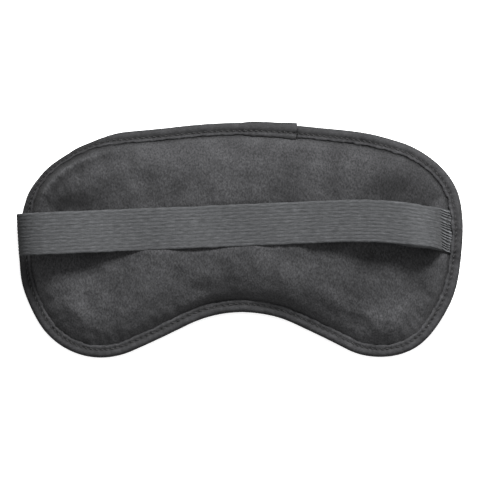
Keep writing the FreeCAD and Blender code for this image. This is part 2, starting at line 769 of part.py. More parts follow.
def band_middle(x):
    """Y of the strap's middle at a place along it."""
    slope, centre, end_centre = band_line()
    if x > end_centre.x:
        return end_centre.y + math.sqrt(dim("band_end_bend").value ** 2 - (x - end_centre.x) ** 2)
    leave = centre + Vector(-math.sin(slope), math.cos(slope), 0) * dim("band_bend").value
    return leave.y + (x - leave.x) * math.tan(slope)


def thread_node(label, bars):
    """A thread's visible stitches, each a solid of its own, in one node."""
    feature = doc.addObject("Part::Feature", label)
    feature.Label = label
    feature.Shape = Part.makeCompound(bars)
    feature.Placement = FreeCAD.Placement(Vector(0, 0, dim("seam_height").value), FreeCAD.Rotation())


def make_threads():
    """The seams' threads: binding, pouch and the two strap ends."""
    thread_height = dim("thread_height").value
    lap_top = (tape_top + tape_cloth).value
    root_top = (tape_top + dim("strap_cloth")).value
    margin = dim("stitch_margin").value

    def front_height(point):
        if point.y > 0 and dim("lap_start").value - margin < point.x < dim("lap_end").value + margin:
            return lap_top
        return tape_top.value

    def face_height(point):
        beside_root = dim("cover_low_y").value - margin < point.y < dim("cover_high_y").value + margin
        if point.x > dim("cover_inner_x").value and beside_root:
            return root_top
        return front_height(point)

    seam_inset = dim("stitch_inset")
    thread_node("binding_needle_thread", seam_row(seam_inset, face_height, thread_height, True))
    thread_node("binding_bobbin_thread", seam_row(seam_inset, front_height, thread_height, False))
    pouch_inset = dim("pouch_stitch_inset")
    pouch_thread = dim("pouch_thread_height").value
    pouch_rows = [bar for upward in (True, False)
                  for bar in seam_row(pouch_inset, lambda point: pouch_cloth.value, pouch_thread, upward)]
    thread_node("pouch_seam_thread", pouch_rows)

    root_surface = (panel_cloth + dim("strap_cloth")).value
    row_gap = dim("tack_row_gap").value
    first_row = dim("right_root_x").value + row_gap / 2
    right_rows = [bar for row in range(2)
                  for bar in across_row(first_row + row * row_gap, band_middle(first_row), root_surface)]
    thread_node("strap_tack_right", right_rows)

    slope = math.radians(dim("tail_slope").value)
    wrap_x = dim("left_drop_x").value - dim("left_drop_bend").value + dim("left_wrap_bend").value
    left_gap = row_gap * 3
    left_rows = []
    for row in range(2):
        x = dim("tail_end").value - (row + 1) * left_gap
        middle = dim("left_wrap_height").value - dim("left_wrap_bend").value / math.cos(slope)
        middle -= (x - wrap_x) * math.tan(slope)
        surface = middle - half_strap.value / math.cos(slope)
        surface -= dim("thread_width").value / 2 * math.tan(slope)
        left_rows.extend(across_row(x, band_middle(x), surface - thread_height))
    thread_node("strap_tack_left", left_rows)


# ---------------------------------------------------------------- build, check and write
make_soft_parts()
make_binding()
make_strap()
make_threads()
doc.recompute()

for item in doc.Objects:
    if "Invalid" in item.State or "Error" in item.State:
        raise RuntimeError(f"{item.Name} failed: {item.State}")

SUB_PARTS = [item for item in doc.Objects
             if item.TypeId == "PartDesign::Body" or item.TypeId == "Part::Feature"]
os.makedirs("parts", exist_ok=True)
for item in SUB_PARTS:
    if item.Shape.isNull() or not item.Shape.isValid():
        raise RuntimeError(f"{item.Label} has no valid shape")
for item in SUB_PARTS:
    item.Shape.exportStep(os.path.join("parts", f"{item.Label}.step"))
    box = item.Shape.BoundBox
    print(f"{item.Label}: {len(item.Shape.Solids)} solids, {item.Shape.Volume:.1f} mm3, "
          f"x {box.XMin:.2f}..{box.XMax:.2f}, y {box.YMin:.2f}..{box.YMax:.2f}, "
          f"z {box.ZMin:.2f}..{box.ZMax:.2f}")
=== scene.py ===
"""Contoured eye pillow with a ribbed elastic head strap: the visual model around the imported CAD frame.

Lengths in this script are millimetres in the row frame, and every mesh is turned into metres when it is
made.  The pillow lies front side down on the floor, with its face side and its strap up.
"""
import math

import bmesh
import bpy
import numpy as np
from mathutils import Matrix, Vector, geometry
from mathutils.bvhtree import BVHTree


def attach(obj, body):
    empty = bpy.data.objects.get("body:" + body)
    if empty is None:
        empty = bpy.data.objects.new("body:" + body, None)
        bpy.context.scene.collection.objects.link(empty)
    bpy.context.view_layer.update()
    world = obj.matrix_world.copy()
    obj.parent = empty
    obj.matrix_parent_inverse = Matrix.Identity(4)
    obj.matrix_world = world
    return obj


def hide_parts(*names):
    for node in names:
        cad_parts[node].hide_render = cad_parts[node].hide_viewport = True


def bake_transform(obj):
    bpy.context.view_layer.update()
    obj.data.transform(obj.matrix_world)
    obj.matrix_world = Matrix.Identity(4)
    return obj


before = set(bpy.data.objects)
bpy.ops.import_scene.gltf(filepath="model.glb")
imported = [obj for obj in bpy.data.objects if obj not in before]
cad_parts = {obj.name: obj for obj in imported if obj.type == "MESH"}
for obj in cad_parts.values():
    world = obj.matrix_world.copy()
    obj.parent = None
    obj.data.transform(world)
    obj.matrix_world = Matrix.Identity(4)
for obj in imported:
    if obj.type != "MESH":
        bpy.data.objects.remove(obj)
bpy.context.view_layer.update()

MM = 0.001
TURN = 2 * math.pi

# ---------------- dimensions, as in the CAD design
CORNER = np.array([68.3, 10.3])
CORNER_BEND = 37.1
LOBE = np.array([66.1, -21.5])
LOBE_BEND = 34.0
SIDE_BEND = 81.5
BROW_BEND = 323.7
NOSE = np.array([0.0, -91.7])
NOSE_BEND = 58.0

SEAM = 7.0              # height of the plane where the two panels meet
CROWN = 8.75            # how far the face panel rises above its flat rim
BELLY = 6.95            # how far the front panel sinks below its flat rim
PANEL_CLOTH = 0.6
TAPE_WIDTH = 5.9
TAPE_CLOTH = 0.6
PANEL_RIM = 4.6         # inset of the panels' cut edge, inside the tape
PANEL_RISE = 6.3        # inset where the panels start to puff up
FLANGE = 0.62           # height of a panel's flat rim above the seam plane

PITCH = 2.75
STITCH_LENGTH = 2.0
STITCH_INSET = 4.0
STITCH_SLANT = 0.36     # how far each end of a stitch lies off its row
THREAD = 0.18           # half the thread's width

LAP_START = 2.5
LAP_END = 27.3
LAP_ROOT = 3            # length over which the lapped end still rises out of the tape past its start
LAP_LIFT = 0.62         # how far it stands off the tape below it
LAP_FLARE = 11          # length over which it flares towards its cut
ROOT_LOW = -8.8
ROOT_HIGH = 16.0

STRAP_HALF = 10.0
STRAP_CLOTH = 1.2
RIBS = 12


# ---------------- numbers
def eased(t):
    t = np.clip(t, 0.0, 1.0)
    return t * t * (3 - 2 * t)


def between(x, start, end, ramp):
    """1 from start to end and 0 outside them, easing over ramp."""
    return eased((x - start) / ramp + 0.5) * eased((end - x) / ramp + 0.5)


def hill(x, middle, width):
    return np.exp(-((x - middle) / width) ** 2)


def through(x, knots):
    """The value at x of a line that eases from knot to knot."""
    places = np.array([k[0] for k in knots], float)
    values = np.array([k[1] for k in knots], float)
    k = np.clip(np.searchsorted(places, x) - 1, 0, len(knots) - 2)
    share = (x - places[k]) / (places[k + 1] - places[k])
    return values[k] + (values[k + 1] - values[k]) * eased(share)


def blob(x, y, middle, reach):
    """A smooth bump over the plan, 1 high at its middle and fading at its reach in x and in y."""
    return np.exp(-((x - middle[0]) / reach[0]) ** 2 - ((y - middle[1]) / reach[1]) ** 2)


def unit(v):
    """Each row of v, made 1 long."""
    return v / np.maximum(np.linalg.norm(v, axis=1), 1e-9)[:, None]


WAVES = 9               # how many waves make up a drift


def drift(x, size, seed):
    """A smooth wandering value along a line, about 1 high, whose waves are about size long."""
    draw = np.random.default_rng(seed)
    waves = draw.uniform(0.55, 1.5, WAVES) * TURN / size
    phases = draw.uniform(0, TURN, WAVES)
    return np.cos(x[..., None] * waves + phases).sum(-1) * math.sqrt(2 / WAVES)


def lumps(x, y, size, seed, count=26):
    """A smooth random field over the plan, about 1 high, whose lumps are about size across."""
    draw = np.random.default_rng(seed)
    way = draw.uniform(0, TURN, count)
    wave = draw.uniform(0.55, 1.45, count) * TURN / size
    phase = draw.uniform(0, TURN, count)
    total = 0.0
    for k in range(count):
        total = total + np.cos(wave[k] * (x * math.cos(way[k]) + y * math.sin(way[k])) + phase[k])
    return total * math.sqrt(2 / count)


# ---------------- outline of the pillow
def towards(angle):
    return np.stack([np.cos(angle), np.sin(angle)], -1)


def angle_of(v):
    return math.atan2(v[1], v[0])


class Bend:
    """An arc of the outline, from a start angle through a turn; the turn is negative where it is hollow."""

    def __init__(self, centre, radius, start, turn):
        self.centre, self.radius, self.start, self.turn = np.array(centre), radius, start, turn
        self.side = math.copysign(1.0, turn)
        self.length = radius * abs(turn)

    def place(self, along):
        out = towards(self.start + self.side * along / self.radius)
        return self.centre + self.radius * out, self.side * out

    def find(self, points):
        away = points - self.centre
        angle = (np.arctan2(away[:, 1], away[:, 0]) - self.start) * self.side
        angle = (angle + 1.0) % TURN - 1.0
        return angle * self.radius, (self.radius - np.hypot(away[:, 0], away[:, 1])) * self.side

    def mirrored(self):
        centre = self.centre * (-1, 1)
        return Bend(centre, self.radius, math.pi - self.start - self.turn, self.turn)


class Straight:
    """A straight stretch of the outline."""

    def __init__(self, start, end):
        self.start, self.end = np.array(start), np.array(end)
        self.length = float(np.hypot(*(self.end - self.start)))
        self.way = (self.end - self.start) / self.length
        self.out = np.array([self.way[1], -self.way[0]])

    def place(self, along):
        return self.start + along[..., None] * self.way, np.broadcast_to(self.out, along.shape + (2,))

    def find(self, points):
        away = points - self.start
        return away @ self.way, -(away @ self.out)

    def mirrored(self):
        return Straight(self.end * (-1, 1), self.start * (-1, 1))


class Outline:
    """The closed outline, counter-clockwise from the middle of the nose notch."""

    def __init__(self, half):
        self.runs = half + [run.mirrored() for run in reversed(half)]
        self.ends = np.cumsum([run.length for run in self.runs])
        self.starts = self.ends - [run.length for run in self.runs]
        self.length = float(self.ends[-1])

    def place(self, along, inset=0.0):
        """Points at that distance along and that inset, and the outward directions there."""
        along = along % self.length
        which = np.clip(np.searchsorted(self.ends, along, side="right"), 0, len(self.runs) - 1)
        points, out = np.zeros(along.shape + (2,)), np.zeros(along.shape + (2,))
        for k, run in enumerate(self.runs):
            here = which == k
            points[here], out[here] = run.place(along[here] - self.starts[k])
        inset = np.broadcast_to(inset, along.shape)
        return points - out * inset[..., None], out

    def find(self, points):
        """How far along the outline each point is, and how far in from it."""
        best = np.full(len(points), np.inf)
        along, inset = np.zeros(len(points)), np.zeros(len(points))
        for start, run in zip(self.starts, self.runs):
            s, d = run.find(points)
            nearer = (s > -0.01) & (s < run.length + 0.01) & (np.abs(d) < np.abs(best))
            best[nearer], along[nearer], inset[nearer] = d[nearer], start + s[nearer], d[nearer]
        return along, inset


def half_outline():
    """The right half, from the nose notch round to the middle of the brow."""
    brow = np.array([0.0, CORNER[1] - math.sqrt((BROW_BEND - CORNER_BEND) ** 2 - CORNER[0] ** 2)])
    to_corner, to_lobe = SIDE_BEND - CORNER_BEND, SIDE_BEND - LOBE_BEND
    span = LOBE - CORNER
    gap = float(np.hypot(*span))
    way = span / gap
    down = (to_corner**2 - to_lobe**2 + gap**2) / (2 * gap)
    across = math.sqrt(to_corner**2 - down**2)
    side = CORNER + way * down + np.array([way[1], -way[0]]) * across
    reach = NOSE - LOBE
    flank = angle_of(reach) + math.acos((LOBE_BEND + NOSE_BEND) / float(np.hypot(*reach)))
    flank_low = LOBE + towards(flank) * LOBE_BEND
    flank_high = NOSE - towards(flank) * NOSE_BEND
    nose_end, lobe_end = angle_of(flank_high - NOSE), angle_of(LOBE - side)
    side_end, corner_end = angle_of(CORNER - side), angle_of(CORNER - brow)
    return [
        Bend(NOSE, NOSE_BEND, math.pi / 2, nose_end - math.pi / 2),
        Straight(flank_high, flank_low),
        Bend(LOBE, LOBE_BEND, flank, lobe_end - flank),
        Bend(side, SIDE_BEND, lobe_end, side_end - lobe_end),
        Bend(CORNER, CORNER_BEND, side_end, corner_end - side_end),
        Bend(brow, BROW_BEND, corner_end, math.pi / 2 - corner_end),
    ]


EDGE = Outline(half_outline())
STITCHES = round(EDGE.length / PITCH)
PITCH = EDGE.length / STITCHES


def spot(x, y):
    """How far along the outline the point nearest to x, y is."""
    return float(EDGE.find(np.array([[x, y]], float))[0][0])


# ---------------- how the edge droops
DROOP_START = 7.4       # inset where the edge starts to bend down
SLUMP_REACH = 26.0      # how far in from the edge its sideways shift fades out


def stretch(along, start, end, ramp):
    """1 along the edge from near one x, y to near another, easing over ramp."""
    return between(along, spot(*start), spot(*end), ramp)


def round_the_edge(notch, *places):
    """Knots along the edge from a value at the nose notch and values near places x, y in turn."""
    return [(0.0, notch), *[(spot(x, y), value) for x, y, value in places], (EDGE.length, notch)]


# how steeply the tape hangs, in radians
DROOP = round_the_edge(
    0.10, (66, -55, 0.14), (105, -10, 0.12), (98, 33, 0.12), (60, 50, 0.06), (-34, 54, 0.06),
    (-52, 51, 0.26), (-72, 47, 0.82), (-88, 41, 0.95), (-98, 33, 0.90), (-104, 21, 0.66),
    (-106, 8, 0.40), (-105, -8, 0.28), (-103, -20, 0.18), (-66, -55, 0.12))

# how far the sewn edge lies inside the even outline, or outside it where this is negative
SLUMP = round_the_edge(
    -0.5, (28, -41, 0.1), (60, -55, 0.0), (82, -51, -0.7), (94, -41, 0.15), (102, -24, -0.9),
    (106, -4, -0.05), (103, 23, -0.85), (89, 41, 0.25), (62, 49, -1.2), (36, 53, -0.4), (-2, 56, -0.5),
    (-34, 54, 0.0), (-66, 49, -1.5), (-88, 41, 1.1), (-104, 21, 0.8), (-106, 5, 1.05),
    (-105, -8, -0.1), (-102, -23, -0.85), (-60, -55, -0.4), (-36, -45, -1.1))


def settle(points):
    """Where points of the sewn shell lie once its edge droops and strays from the even outline."""
    along, inset = EDGE.find(points[:, :2])
    foot, out = EDGE.place(along)
    tilt = through(along, DROOP) + 0.03 * drift(along, 38, 11)
    run = DROOP_START - TAPE_WIDTH
    over = np.clip(DROOP_START - inset, 0, run)
    angle = tilt * over / run
    past = np.maximum(TAPE_WIDTH - inset, 0)
    reach = over * np.sinc(angle / math.pi) + past * np.cos(tilt)
    drop = over * (angle / 2) * np.sinc(angle / TURN) ** 2 + past * np.sin(tilt)
    height = points[:, 2] - SEAM
    reach = reach + height * np.sin(angle)
    bent = np.where(inset < DROOP_START, DROOP_START - reach, inset)
    slump = through(along, SLUMP) + 0.10 * drift(along, 60, 12)
    bent = bent + slump * eased(1 - inset / SLUMP_REACH)
    z = np.where(inset < DROOP_START, SEAM - drop + height * np.cos(angle), points[:, 2])
    flat = foot - out * bent[:, None]
    return np.column_stack([flat, np.maximum(z, 0.05)])


def by_the_edge(along, inset, height):
    """Points that far along the sewn edge and in from it, where they lie once it has drooped."""
    return settle(np.column_stack([EDGE.place(along, inset)[0], height]))


# ---------------- making meshes
def put_points(mesh, points):
    mesh.vertices.foreach_set("co", (points * MM).astype(np.float32).ravel())
    mesh.update()


def points_of(mesh):
    co = np.zeros(len(mesh.vertices) * 3, np.float32)
    mesh.vertices.foreach_get("co", co)
    return co.reshape(-1, 3).astype(float) / MM


def raised(points, amount):
    """The points, moved up by that amount."""
    moved = points.copy()
    moved[:, 2] += amount
    return moved


def add_object(name, data):
    made = bpy.data.objects.new(name, data)
    bpy.context.scene.collection.objects.link(made)
    return made


def make_piece(name, points, faces, material):
    mesh = bpy.data.meshes.new(name)
    mesh.from_pydata((points * MM).tolist(), [], faces)
    mesh.validate()
    mesh.shade_smooth()
    mesh.materials.append(material)
    return add_object(name, mesh)


def grid_faces(rows, columns, round_rows=False, round_columns=False):
    """The four-sided faces of a grid of points that is stored row by row."""
    faces = []
    for r in range(rows if round_rows else rows - 1):
        for c in range(columns if round_columns else columns - 1):
            r2, c2 = (r + 1) % rows, (c + 1) % columns
            faces.append((r * columns + c, r * columns + c2, r2 * columns + c2, r2 * columns + c))
    return faces


def capped_faces(rows, columns):
    """The faces of a row of closed sections, with a strip of faces across each of its two ends."""
    faces = grid_faces(rows, columns, False, True)
    for row in (0, rows - 1):
        first, last = row * columns, row * columns + columns - 1
        for k in range(columns // 2 - 1):
            face = (first + k, first + k + 1, last - 1 - k, last - k)
            faces.append(face if row else face[::-1])
    return faces


def lay_weave(piece, along, across, tint):
    """Cloth coordinates in metres, and a tone in the third place, with painted shade and light on the face
    panel, tape and strap.
    """
    count = len(piece.data.vertices)
    values = np.zeros((count, 3), np.float32)
    values[:, 0], values[:, 1], values[:, 2] = along * MM, across * MM, tint
    weave = piece.data.attributes.new("weave", "FLOAT_VECTOR", "POINT")
    weave.data.foreach_set("vector", values.ravel())


def bake_modifiers(piece):
    """Applies every modifier of a piece to its mesh."""
    shown = piece.evaluated_get(bpy.context.evaluated_depsgraph_get())
    mesh = bpy.data.meshes.new_from_object(shown)
    piece.modifiers.clear()
    old = piece.data
    piece.data = mesh
    mesh.name = piece.name
    bpy.data.meshes.remove(old)


def hand_over(piece, body, slot, *nodes):
    """A piece rides on its body, if it has one, and stands for its CAD nodes, which are hidden; the slot is
    not used.
    """
    if body:
        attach(piece, body)
    if nodes:
        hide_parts(*nodes)


# ---------------- materials
class Look:
    """A node material round one Principled shader."""

    def __init__(self, name, roughness, specular, sheen=0.0):
        self.material = bpy.data.materials.new(name)
        self.material.use_nodes = True
        self.nodes = self.material.node_tree.nodes
        self.link = self.material.node_tree.links.new
        self.shader = self.nodes["Principled BSDF"]
        values = {"Roughness": roughness, "Specular IOR Level": specular, "Sheen Weight": sheen}
        for key, value in values.items():
            self.shader.inputs[key].default_value = value
        self.normal = None

    def node(self, kind, **values):
        made = self.nodes.new(kind)
        for key, value in values.items():
            made.inputs[key].default_value = value
        return made

    def place(self, scale=(1, 1, 1), turn=(0, 0, 0)):
        """Object coordinates, stretched and turned."""
        spread = self.node("ShaderNodeMapping", Scale=scale, Rotation=turn)
        self.link(self.node("ShaderNodeTexCoord").outputs["Object"], spread.inputs["Vector"])
        return spread.outputs[0]

    def stored(self):
        """What lay_weave stored."""
        made = self.node("ShaderNodeAttribute")
        made.attribute_name = "weave"
        return made.outputs["Vector"]

    def weave(self, scale):
        """The cloth coordinates that lay_weave stored, stretched."""
        spread = self.node("ShaderNodeMapping", Scale=scale)
        self.link(self.stored(), spread.inputs["Vector"])
        return spread.outputs[0]

    def tint(self):
        """The shade that lay_weave stored."""
        parts = self.node("ShaderNodeSeparateXYZ")
        self.link(self.stored(), parts.inputs[0])
        return parts.outputs["Z"]

    def noise(self, where, scale, detail=2.0, roughness=0.5):
        made = self.node("ShaderNodeTexNoise", Scale=scale, Detail=detail, Roughness=roughness)
        self.link(where, made.inputs["Vector"])
        return made.outputs["Fac"]

    def waves(self, where, scale, along, distort):
        made = self.node("ShaderNodeTexWave", Scale=scale, Distortion=distort, Detail=1.0)
        made.bands_direction = along
        self.link(where, made.inputs["Vector"])
        return made.outputs["Fac"]

    def ramp(self, value, *stops):
        """A colour for each value, through stops of a value and its colour."""
        made = self.node("ShaderNodeValToRGB")
        elements = made.color_ramp.elements
        for element, (position, colour) in zip((elements[0], elements[1]), (stops[0], stops[-1])):
            element.position = position
            element.color = (*colour, 1)
        for position, colour in stops[1:-1]:
            elements.new(position).color = (*colour, 1)
        self.link(value, made.inputs["Fac"])
        return made.outputs["Color"]

    def shades(self, value, *stops, tone=(1, 1, 1)):
        """A lighter or darker tone for each value, through stops of a value and its lightness."""
        return self.ramp(value, *[(position, [level * part for part in tone]) for position, level in stops])

    def times(self, *colours):
        """The product of several colours."""
        total = colours[0]
        for colour in colours[1:]:
            made = self.node("ShaderNodeMixRGB", Fac=1.0)
            made.blend_type = "MULTIPLY"
            self.link(total, made.inputs[1])
            self.link(colour, made.inputs[2])
            total = made.outputs["Color"]
        return total

    def colour(self, colour):
        self.link(colour, self.shader.inputs["Base Color"])

    def bump(self, value, depth, strength):
        """Adds a relief of that depth in millimetres."""
        made = self.node("ShaderNodeBump", Strength=strength, Distance=depth * MM)
        self.link(value, made.inputs["Height"])
        if self.normal:
            self.link(self.normal, made.inputs["Normal"])
        self.normal = made.outputs["Normal"]
        self.link(self.normal, self.shader.inputs["Normal"])


COOL_GREY = (1.0, 1.0, 1.045)
ELASTIC_GREY = (0.975, 1.0, 1.045)


def velour(name, level):
    """Short plush: a cloudy nap where the pile lies one way or the other, over a fine grain, times a stored
    tone which holds painted shade and painted light.
    """
    look = Look(name, roughness=0.95, specular=0.08, sheen=0.05)
    clouds = look.noise(look.place(), 62, detail=2.5, roughness=0.55)
    nap = look.shades(clouds, (0.30, level * 0.78), (0.50, level), (0.72, level * 1.25), tone=COOL_GREY)
    grain = look.noise(look.place((1.0, 0.6, 1.0), (0, 0, 0.7)), 1400, roughness=0.7)
    specks = look.shades(grain, (0.32, 0.52), (0.50, 0.94), (0.70, 1.45))
    # the stored tone: the nap's lumps, with painted shade and painted light on the face panel
    nap_and_painted_shade = look.shades(look.tint(), (0.0, 0.22), (1.0, 1.35))
    look.colour(look.times(nap, specks, nap_and_painted_shade))
    pile = look.noise(look.place((1.0, 0.8, 1.0), (0, 0, 0.4)), 1100, detail=2.5, roughness=0.75)
    look.bump(look.noise(look.place(), 330), 0.20, 0.45)
    look.bump(pile, 0.18, 0.8)
    return look.material


def tape_cloth():
    """Folded woven tape: a fine diagonal rib, lighter along its fold, times a stored tone which holds painted
    shade and painted light.
    """
    look = Look("binding_tape_weave", roughness=0.9, specular=0.12, sheen=0.02)
    patches = look.noise(look.weave((1.0, 1.0, 0.0)), 230, detail=3.0, roughness=0.6)
    base = look.shades(patches, (0.28, 0.020), (0.52, 0.027), (0.75, 0.036), tone=COOL_GREY)
    threads = look.noise(look.weave((1.0, 2.2, 0.0)), 900, roughness=0.7)
    flecks = look.shades(threads, (0.30, 0.66), (0.52, 0.94), (0.74, 1.30))
    # the stored tone, with painted shade and painted light along parts of the tape
    tape_tone_and_painted_shade = look.shades(look.tint(), (0.0, 0.35), (0.5, 1.0), (1.0, 1.55))
    look.colour(look.times(base, flecks, tape_tone_and_painted_shade))
    look.bump(look.waves(look.weave((1.0, 0.8, 0.0)), 420, "DIAGONAL", 1.5), 0.10, 0.35)
    look.bump(threads, 0.14, 0.7)
    return look.material


def elastic():
    """Ribbed knitted elastic: short streaks along the ribs and a fine cross knit, times a stored tone of
    painted shade and painted highlights.
    """
    look = Look("strap_elastic_knit", roughness=0.85, specular=0.16, sheen=0.03)
    streaks = look.noise(look.weave((0.30, 1.7, 0.0)), 900, detail=3.0, roughness=0.75)
    base = look.shades(streaks, (0.28, 0.021), (0.50, 0.037), (0.72, 0.061), tone=ELASTIC_GREY)
    knit = look.waves(look.weave((1.0, 0.12, 0.0)), 520, "X", 6.0)
    loops = look.shades(knit, (0.0, 0.95), (1.0, 1.03))
    # painted shade in the rib grooves and near the fold; the top stop makes the gathered ridges at the root a
    # painted highlight
    painted_rib_light_and_shade = look.shades(look.tint(), (0.0, 0.16), (0.36, 0.76), (0.80, 1.10), (1.0, 3.0))
    look.colour(look.times(base, loops, painted_rib_light_and_shade))
    look.bump(knit, 0.08, 0.25)
    look.bump(look.noise(look.weave((0.5, 1.4, 0.0)), 1100), 0.12, 0.5)
    return look.material


def thread_look(name, tone):
    """Twisted sewing thread."""
    look = Look(name, roughness=0.62, specular=0.3, sheen=0.1)
    twist = look.waves(look.place(), 900, "DIAGONAL", 1.0)
    look.colour(look.shades(twist, (0.0, 0.7), (1.0, 1.25), tone=tone))
    look.bump(twist, 0.05, 0.6)
    return look.material


def cotton():
    """Plain woven cotton with slubs."""
    look = Look("pouch_cotton_weave", roughness=0.9, specular=0.2, sheen=0.2)
    warp = look.waves(look.place(), 420, "X", 0.6)
    weft = look.waves(look.place(), 420, "Y", 0.6)
    across = look.ramp(warp, (0.0, (0.62, 0.60, 0.54)), (1.0, (0.74, 0.72, 0.66)))
    down = look.ramp(weft, (0.0, (0.90, 0.90, 0.88)), (1.0, (1.0, 1.0, 1.0)))
    slubs = look.shades(look.noise(look.place(), 160), (0.3, 0.9), (0.7, 1.05))
    look.colour(look.times(across, down, slubs))
    look.bump(warp, 0.08, 0.5)
    look.bump(weft, 0.08, 0.5)
    return look.material


def seeds():
    """Flax seed and lavender: each grain has its own brown."""
    look = Look("seed_grains", roughness=0.42, specular=0.5)
    cells = look.node("ShaderNodeTexVoronoi", Scale=420.0)
    look.link(look.place((1.0, 0.6, 1.0)), cells.inputs["Vector"])
    shade = look.ramp(cells.outputs["Color"], (0.1, (0.16, 0.07, 0.03)), (0.55, (0.30, 0.16, 0.07)),
                      (0.9, (0.22, 0.19, 0.22)))
    # painted shade between the grains
    painted_gap_shade = look.ramp(cells.outputs["Distance"], (0.2, (1.0, 1.0, 1.0)), (0.8, (0.35, 0.3, 0.28)))
    look.colour(look.times(shade, painted_gap_shade))
    look.bump(cells.outputs["Distance"], 0.5, 0.8)
    return look.material


def floor_paper():
    """Pale paper that glows a little, so that it stays white in the picture."""
    look = Look("studio_floor", roughness=0.9, specular=0.1)
    look.colour(look.shades(look.noise(look.place(), 5.0), (0.3, 0.86), (0.7, 0.88)))
    look.shader.inputs["Emission Color"].default_value = (1, 1, 1, 1)
    look.shader.inputs["Emission Strength"].default_value = 0.55
    return look.material


PLUSH = velour("face_plush_velour", 0.0300)
FRONT = velour("front_velour", 0.0260)
TAPE = tape_cloth()
ELASTIC = elastic()
DARK_THREAD = thread_look("dark_thread_twist", (0.010, 0.0098, 0.010))
PALE_THREAD = thread_look("pouch_thread_twist", (0.55, 0.53, 0.47))
COTTON = cotton()
SEEDS = seeds()


# ---------------- flat cuts and how they puff up
def flat_cut(rings, spacing, seed):
    """Points, triangles and a held mark of a flat cut: rings of points and a hexagonal grid in them.

    Points on the rings given are held; one more ring follows them before the grid starts."""
    count = int(EDGE.length / spacing)
    points = []
    for k, inset in enumerate([*rings, rings[-1] + 0.8 * spacing]):
        along = (np.arange(count) + 0.5 * (k % 2)) * EDGE.length / count
        points.append(EDGE.place(along, inset)[0])
    draw = np.random.default_rng(seed)
    x, y = np.meshgrid(np.arange(-108, 108, spacing), np.arange(-58, 58, spacing * 0.866))
    x = x + 0.5 * spacing * (np.arange(len(x)) % 2)[:, None]
    grid = np.column_stack([x.ravel(), y.ravel()]) + draw.uniform(-0.06, 0.06, (x.size, 2)) * spacing
    inside = EDGE.find(grid)[1] > rings[-1] + 1.45 * spacing
    away = np.hypot(*(grid / (120, 65)).T) < 1
    points = np.vstack([*points, grid[inside & away]])
    made = geometry.delaunay_2d_cdt([Vector(p) for p in points], [], [list(range(count))], 1, 1e-5)
    flat = np.array([tuple(v) for v in made[0]])
    held = EDGE.find(flat)[1] < rings[-1] + 0.05
    return flat, [tuple(f) for f in made[2]], held


SWEEPS = 5000           # how often the membrane's heights are averaged before it counts as at rest


def membrane(points, triangles, held):
    """How high a membrane under even pressure stands at each point, as a share of its highest point."""
    tri = np.array(triangles)
    pairs = np.vstack([tri[:, [0, 1]], tri[:, [1, 2]], tri[:, [2, 0]]])
    pairs = np.unique(np.vstack([pairs, pairs[:, ::-1]]), axis=0)
    degree = np.bincount(pairs[:, 0], minlength=len(points))
    height = np.zeros(len(points))
    for _ in range(SWEEPS):
        total = np.bincount(pairs[:, 0], weights=height[pairs[:, 1]], minlength=len(points))
        height = np.where(held, 0.0, total / np.maximum(degree, 1) + 1.0)
    return height / height.max()


def puffed(share, fullness, power):
    """Cloth that hardly stretches rises steeply at its rim and levels off towards the middle."""
    return np.tanh(fullness * share**power) / math.tanh(fullness)


# the plush in the cloth simulation; a negative shrink_min makes it longer than its guessed shape
PLUSH_CLOTH = dict(quality=6, mass=0.08, tension_stiffness=18, compression_stiffness=18, shear_stiffness=8,
                   bending_stiffness=4.0, shrink_min=-0.004, vertex_group_mass="rim", use_pressure=True,
                   uniform_pressure_force=9.0)
FURTHEST = 0.8          # the most that the simulation may move a point
SIM_STEPS = 20
SIM_SCALE = 10          # the simulation is run at ten times the size, where it is steadier


def billow(piece, held):
    """Cloth simulation under inner pressure with the rim held, and capped."""
    mesh = piece.data
    start = points_of(mesh)
    mesh.transform(Matrix.Scale(SIM_SCALE, 4))
    rim = piece.vertex_groups.new(name="rim")
    rim.add([int(k) for k in np.flatnonzero(held)], 1.0, "REPLACE")
    cloth = piece.modifiers.new("cloth", "CLOTH")
    for setting, value in PLUSH_CLOTH.items():
        setattr(cloth.settings, setting, value)
    cloth.settings.effector_weights.gravity = 0
    cloth.collision_settings.use_collision = False
    cloth.collision_settings.use_self_collision = False
    cloth.point_cache.frame_start = 1
    cloth.point_cache.frame_end = SIM_STEPS
    for step in range(1, SIM_STEPS + 1):
        bpy.context.scene.frame_set(step)
    shown = piece.evaluated_get(bpy.context.evaluated_depsgraph_get())
    moved = points_of(shown.data) / SIM_SCALE - start
    piece.modifiers.clear()
    piece.vertex_groups.clear()
    bpy.context.scene.frame_set(1)
    length = np.linalg.norm(moved, axis=1)
    share = np.minimum(length, FURTHEST) / np.maximum(length, 1e-9)
    put_points(mesh, start + moved * share[:, None])


def round_off(piece):
    smooth = piece.modifiers.new("round", "SUBSURF")
    smooth.levels = smooth.render_levels = 1
    bake_modifiers(piece)


def thicken(piece, cloth):
    """Gives a single layer its cloth thickness, inwards."""
    shell = piece.modifiers.new("cloth", "SOLIDIFY")
    shell.thickness = cloth * MM
    shell.offset = -1
    bake_modifiers(piece)


def height_over(piece, points, up):
    """Where a vertical ray meets the piece, from above if up is 1 and from below if it is -1."""
    tree = BVHTree.FromObject(piece, bpy.context.evaluated_depsgraph_get())
    found = np.zeros(len(points))
    for k, (x, y) in enumerate(points):
        hit = tree.ray_cast(Vector((x * MM, y * MM, up * 0.2)), Vector((0, 0, -up)))[0]
        found[k] = hit.z / MM if hit else SEAM
    return found


# ---------------- the strap's line
BAND_SLOPE = math.radians(2.4)
BAND_TURN = np.array([54.6, -210.8])
BAND_BEND = 220.0
BAND_END = np.array([68.5, -111.8])
BAND_END_BEND = 120.0


